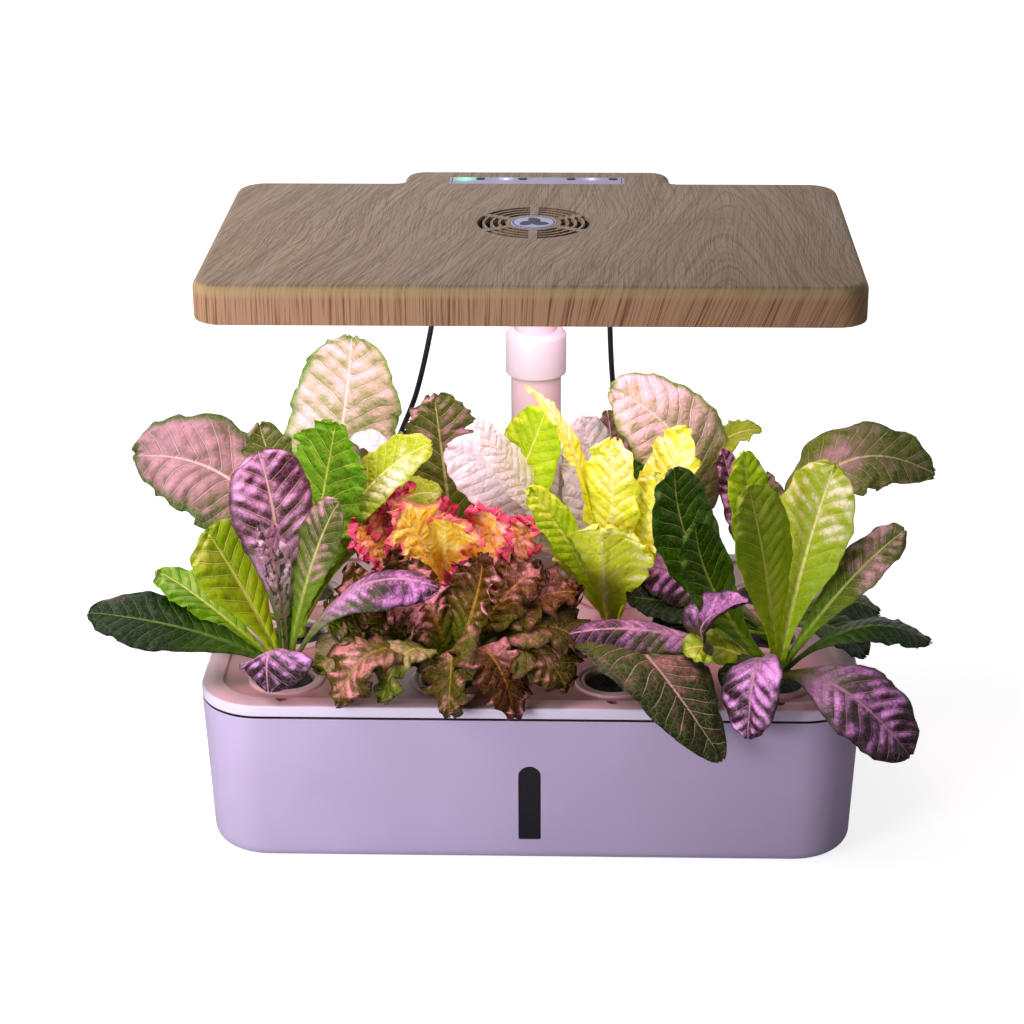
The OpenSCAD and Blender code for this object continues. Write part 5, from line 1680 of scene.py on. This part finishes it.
def guard_slots(rings, z0, z1):
    """Cutters for the arc slots of the fan guard, broken by six bars."""
    shapes = []
    for i in range(rings):
        outer = 34 - 4.7 * i
        inner = outer - 3
        trim_out, trim_in = (math.degrees(math.asin(2.6 / r)) for r in (outer, inner))
        for start in range(30, 390, 60):
            end = start + 60
            outline = arc(0, FAN_Y, outer, start + trim_out, end - trim_out, 14)
            outline += arc(0, FAN_Y, inner, end - trim_in, start + trim_in, 14)
            shapes.append(prism(outline, z0, z1))
    return shapes


def panel_holes(z0, z1):
    """Cutters for the keys and the lights of the control panel."""
    keys = [disc(x, KEY_Y, 3.1, z0, z1, 32) for x in KEY_X]
    return keys + [disc(x, KEY_Y, 1.3, z0, z1, 24) for x in LIGHT_X]


def lamp_shell():
    """The lamp head's hollow shell, open at the bottom."""
    rim = [(2.4, LAMP_Z), (0.8, LAMP_Z), (0.25, LAMP_Z + 0.25), (0, LAMP_Z + 0.9)]
    edge = [
        (5 * (1 - math.cos(a)), LAMP_TOP - 5 * (1 - math.sin(a)))
        for a in np.linspace(0, math.pi / 2, 9)
    ]
    hollow = [
        (2.4 + 2.6 * (1 - math.cos(a)), LAMP_TOP - 2.4 - 2.6 * (1 - math.sin(a)))
        for a in np.linspace(math.pi / 2, 0, 5)
    ]
    profile = [*rim, *edge, *hollow, (2.4, LAMP_Z)]
    points, faces = loft([level(lamp_outline(i), z) for i, z in profile])
    n = len(lamp_outline(0))
    top = (len(rim) + len(edge) - 1) * n
    # The end caps and the walls between the top and its underside give way to two faces
    faces = [f for f in faces[:-2] if not (min(f) // n == top // n < max(f) // n)]
    faces += [tuple(range(top, top + n)), tuple(reversed(range(top + n, top + 2 * n)))]
    return solid("lamp_shell", (points, faces))


class GARDEN_OT_lamp(bpy.types.Operator):
    """Lamp head shell with its wood print, bottom tray, screws and strain reliefs"""

    bl_idname = "garden.lamp"
    bl_label = "Lamp head"

    def execute(self, context):
        shell = lamp_shell()
        low, ledge, high = LAMP_TOP - 4, LAMP_TOP - 1, LAMP_TOP + 2
        cuts = guard_slots(context.scene.garden_sizes.guard_rings, low, high)
        cuts.append(lathe([(11, low), (11, ledge), (14, ledge), (14, high)], 0, FAN_Y))
        combine(shell, "DIFFERENCE", *cuts)
        recess = prism(rounded(112, 16, 1.5, 0, STRIP_Y, 6), STRIP_FLOOR, high)
        combine(shell, "DIFFERENCE", recess)
        combine(shell, "DIFFERENCE", *panel_holes(low, ledge))
        soften(shell, 0.35, 2, 50)
        settle(shell, wood_print(), "lamp_top_shell")
        dress("lamp_bottom_tray", 0.3, white_plastic())
        self.screws()
        for (x, *_), node in ((PIGTAIL[0], "power_gland"), (PUMP_LEAD[0], "pump_gland")):
            profile = [(1.9, 320), (2.5, 320)]
            for i in range(5):
                z = 322 + i * 3.2
                r = 2.6 + i * 0.22
                profile += [(r, z), (r, z + 2), (r - 0.5, z + 2.2), (r - 0.5, z + 3)]
            profile += [
                (5.8, 339), (6, 339.4), (6, 342), (4, 342), (4, 345), (5.4, 345),
                (5.4, 346.4), (1.9, 346.4),
            ]
            settle(turned(node + "_sleeve", profile, x, GLAND_Y, 36), black_rubber(), node)
        return {"FINISHED"}

    def screws(self):
        """Tray screws and the fan's own four, as points with a screw on each."""
        steel = metal("screw steel", tint(190, 190, 196), 0.32)
        tray = [
            (-178, -103), (178, -103), (-178, 104), (178, 104), (0, -103), (-77, 133), (77, 133),
        ]
        fan = [(x, FAN_Y + y) for x in (-31.8, 31.8) for y in (-31.8, 31.8)]
        parts = []
        for name, z0, head, z1, places in (
            ("tray_screws", 340.8, 342, 352, tray),
            ("fan_screws", 350.6, 352, 362, fan),
        ):
            profile = [
                (0.4, z0 + 0.9), (1.4, z0 + 0.9), (1.5, z0 + 0.1), (2.2, z0), (2.8, z0 + 0.5),
                (3, z0 + 1.1), (3, head), (1.5, head), (1.5, z1 - 1), (0.9, z1),
            ]
            screw = turned("screw", profile, steps=24)
            combine(screw, "DIFFERENCE", prism(rounded(0.7, 3.4, 0.2), z0 - 1, z0 + 0.7))
            base = [(x, y, 0) for x, y in places], []
            parts.append(lay_out(name, "at points", steel, base, screw))
        join(*parts)
        settle(parts[0], steel, "lamp_screws")


class GARDEN_OT_light_panel(bpy.types.Operator):
    """Diffuser, light board with its chips, and the air outlet grille"""

    bl_idname = "garden.light_panel"
    bl_label = "Light panel"

    def execute(self, context):
        sizes, colours = context.scene.garden_sizes, context.scene.garden_colours
        lens = glowing("lit diffuser", tint(246, 232, 240), tuple(colours.light), sizes.glow)
        dress("lamp_lens", 0.3, lens)
        dress("led_board", 0.2, circuit("white circuit board", tint(226, 230, 228)))
        chip = solid("chip", prism(rounded(3.5, 2.8, 0.3, steps=3), 346, 346.8))
        combine(chip, "DIFFERENCE", disc(0, 0, 1.1, 345.8, 346.2, 16))
        gold = glowing("light chip", tint(250, 226, 150), (1.0, 0.8, 0.86, 1), 1.0)
        rows = {
            "Columns": 12, "Rows": 6, "Across": 314 / 11 * MM, "Deep": 133 / 5 * MM,
            "Centre": metres(0, -16.5, 0), "Clear Spot": metres(0, FAN_Y, 0),
            "Clear Radius": 0.036,
        }
        settle(lay_out("light_chips", "shapes in rows", gold, shape=chip, **rows), gold, "led_chips")
        dress("fan_outlet", 0.25, white_plastic())
        return {"FINISHED"}


class GARDEN_OT_fan(bpy.types.Operator):
    """Fan frame, rotor with pitched blades, and the badge over it"""

    bl_idname = "garden.fan"
    bl_label = "Fan"

    def execute(self, context):
        black = moulded("fan plastic", tint(34, 32, 36), 0.4)
        dress("fan_frame", 0.4, black)
        outline = [
            (1.4, 352), (1.5, 353.8), (13.6, 353.8), (14, 354.2), (14, 360.4), (13.4, 361.2),
            (12, 361.4), (6, 361.4), (5.6, 361.1), (0.8, 361.1),
        ]
        hub = turned("fan_rotor_hub", outline, 0, FAN_Y)
        blades = lay_out(
            "blades", "in a ring", black, shape=self.blade(), Centre=metres(0, FAN_Y, 0),
            Count=context.scene.garden_sizes.fan_blades,
        )
        join(hub, blades)
        settle(hub, black, "fan_rotor")
        dish = [
            (11, 362.2), (11, 364.05), (13.85, 364.05), (13.9, 364.9), (13.6, 365.2),
            (12.9, 365.2), (12.7, 365.05), (12.5, 365.2), (1, 365.2), (1, 362.2),
        ]
        z = 365.14
        dot = [(0.5, z), (1.6, z), (1.6, 365.3), (0.5, 365.3)]
        ring = [(12.2, 365.1), (12.9, 365.1), (12.9, 365.26), (12.2, 365.26)]
        sign = petals(3, 0, FAN_Y, z, inner=1.8, outer=9.8, width=4.2, twist=0.5, height=0.22)
        sign += [lathe(dot, 0, FAN_Y, 24), lathe(ring, 0, FAN_Y, 72, True)]
        badge = turned("fan_badge_disc", dish, 0, FAN_Y, 72)
        inlay(badge, solid("sign", *sign), pale_plastic(), dark_plastic())
        settle(badge, None, "fan_badge")
        return {"FINISHED"}

    def blade(self):
        """One blade, pitched less and swept back more towards its tip."""
        section = (
            (-0.5, 0), (-0.25, 0.5), (0, 0.75), (0.25, 0.55), (0.5, 0), (0.25, -0.05),
            (0, 0.05), (-0.25, 0),
        )
        root, tip, height = 12.5, 32.1, 357.6
        rings = []
        for r in np.linspace(root, tip, 9):
            pitch = math.radians(44 - (r - root) * 0.75)
            chord = 9.2 + (r - root) * 0.08
            ring = []
            for t, lift in section:
                a, c = chord * t, lift * 1.2
                u = a * math.cos(pitch) - c * math.sin(pitch) - (r - root) * 0.16
                v = -a * math.sin(pitch) - c * math.cos(pitch)
                ring.append((r * math.cos(u / r), r * math.sin(u / r), height + v))
            rings.append(ring)
        return solid("blade", loft(rings))


class GARDEN_OT_controls(bpy.types.Operator):
    """Control strip, its board, the three lights and the four keys"""

    bl_idname = "garden.controls"
    bl_label = "Controls"

    def execute(self, context):
        dark = dark_plastic()
        green, violet = (0.1, 1.0, 0.42, 1), (0.5, 0.46, 1.0, 1)
        plate = prism(rounded(111.9, 15.9, 1.5, 0, STRIP_Y, 6), STRIP_FLOOR, LAMP_TOP)
        strip = solid("control_strip_plate", plate)
        combine(strip, "DIFFERENCE", *panel_holes(363, 366))
        lines = [
            prism(rounded(0.5, 12.6, 0.2, x, STRIP_Y, 2), 364.97, 365.06) for x in (-54.2, 54.2)
        ]
        spots = [
            (x, KEY_Y, reach, glow)
            for x, reach, glow in zip(LIGHT_X, (12, 8, 8), (green, violet, violet))
        ]
        lilac = haloed("glowing lilac plastic", tint(160, 156, 190), spots)
        inlay(strip, solid("lines", *lines), lilac, dark)
        soften(strip, 0.2)
        settle(strip, None, "control_strip")
        dress("control_board", 0.1, circuit("green circuit board", tint(30, 78, 48)))
        pipe = [(1.25, 355.8), (1.25, 364.7), (1.0, 365.05), (0.5, 365.15)]
        lights = solid("status_light_pipes", *[lathe(pipe, x, KEY_Y, 24) for x in LIGHT_X])
        split = (LIGHT_X[0] + LIGHT_X[1]) / 2 * MM
        lit = glowing("light pipe", tint(214, 240, 226), green, 3.0, split, violet)
        settle(lights, lit, "status_lights")
        self.keys(dark)
        return {"FINISHED"}

    def keys(self, dark):
        """Four key caps, each with its sign."""
        pale = moulded("key sign paint", tint(104, 100, 140), 0.5, Specular_IOR_Level=0.12)
        power_x, leaf_x, flower_x, fan_x = KEY_X
        z, thick = 365.26, 0.1
        stroke = rounded(0.45, 1.4, 0.15, power_x, KEY_Y + 1.1, 2)
        signs = {
            "power_key": [open_ring(power_x, KEY_Y, z, 1.15, 1.6, thick, 60),
                          prism(stroke, z, z + thick)],
            "leaf_key": petals(1, leaf_x, KEY_Y - 1.6, z, 0.5, 3.4, 1.0, 0.25, thick),
            "flower_key": petals(5, flower_x, KEY_Y, z, 0.45, 2.0, 0.5, 0.0, thick),
            "fan_key": petals(3, fan_x, KEY_Y, z, 0.4, 2.0, 0.62, 0.4, thick),
        }
        outline = [
            (1, 357), (2.8, 357), (2.8, 361.3), (4, 361.3), (4, 362.3), (2.8, 362.3),
            (2.8, 364.9), (2.5, 365.25), (2.2, 365.3), (0.6, 365.2),
        ]
        for x, (node, sign) in zip(KEY_X, signs.items()):
            cap = turned(node + "_cap", outline, x, KEY_Y, 36)
            settle(inlay(cap, solid("sign", *sign), dark, pale), None, node)


class GARDEN_PT_panel(bpy.types.Panel):
    """Lists the garden's pieces and what can be changed"""

    bl_idname = "GARDEN_PT_panel"
    bl_label = "Hydroponic garden"
    bl_space_type = "VIEW_3D"
    bl_region_type = "UI"
    bl_category = "Garden"

    def draw(self, context):
        for operator in OPERATORS:
            self.layout.operator(operator.bl_idname)
        for group in (context.scene.garden_sizes, context.scene.garden_colours):
            for name in group.__annotations__:
                self.layout.prop(group, name)


OPERATORS = (
    GARDEN_OT_stage,
    GARDEN_OT_leads,
    GARDEN_OT_tank,
    GARDEN_OT_deck,
    GARDEN_OT_pods,
    GARDEN_OT_lettuces,
    GARDEN_OT_mast,
    GARDEN_OT_pump,
    GARDEN_OT_lamp,
    GARDEN_OT_light_panel,
    GARDEN_OT_fan,
    GARDEN_OT_controls,
)
CLASSES = (GardenSizes, GardenColours, *OPERATORS, GARDEN_PT_panel)


def register():
    for made in CLASSES:
        bpy.utils.register_class(made)
    bpy.types.Scene.garden_sizes = bpy.props.PointerProperty(type=GardenSizes)
    bpy.types.Scene.garden_colours = bpy.props.PointerProperty(type=GardenColours)


def unregister():
    del bpy.types.Scene.garden_sizes
    del bpy.types.Scene.garden_colours
    for made in reversed(CLASSES):
        bpy.utils.unregister_class(made)


def main():
    register()
    bpy.ops.garden.stage()
    bpy.ops.garden.leads()
    bpy.ops.garden.tank()
    bpy.ops.garden.deck()
    bpy.ops.garden.pods()
    bpy.ops.garden.lettuces()
    bpy.ops.garden.mast()
    bpy.ops.garden.pump()
    bpy.ops.garden.lamp()
    bpy.ops.garden.light_panel()
    bpy.ops.garden.fan()
    bpy.ops.garden.controls()


if __name__ == "__main__":
    main()
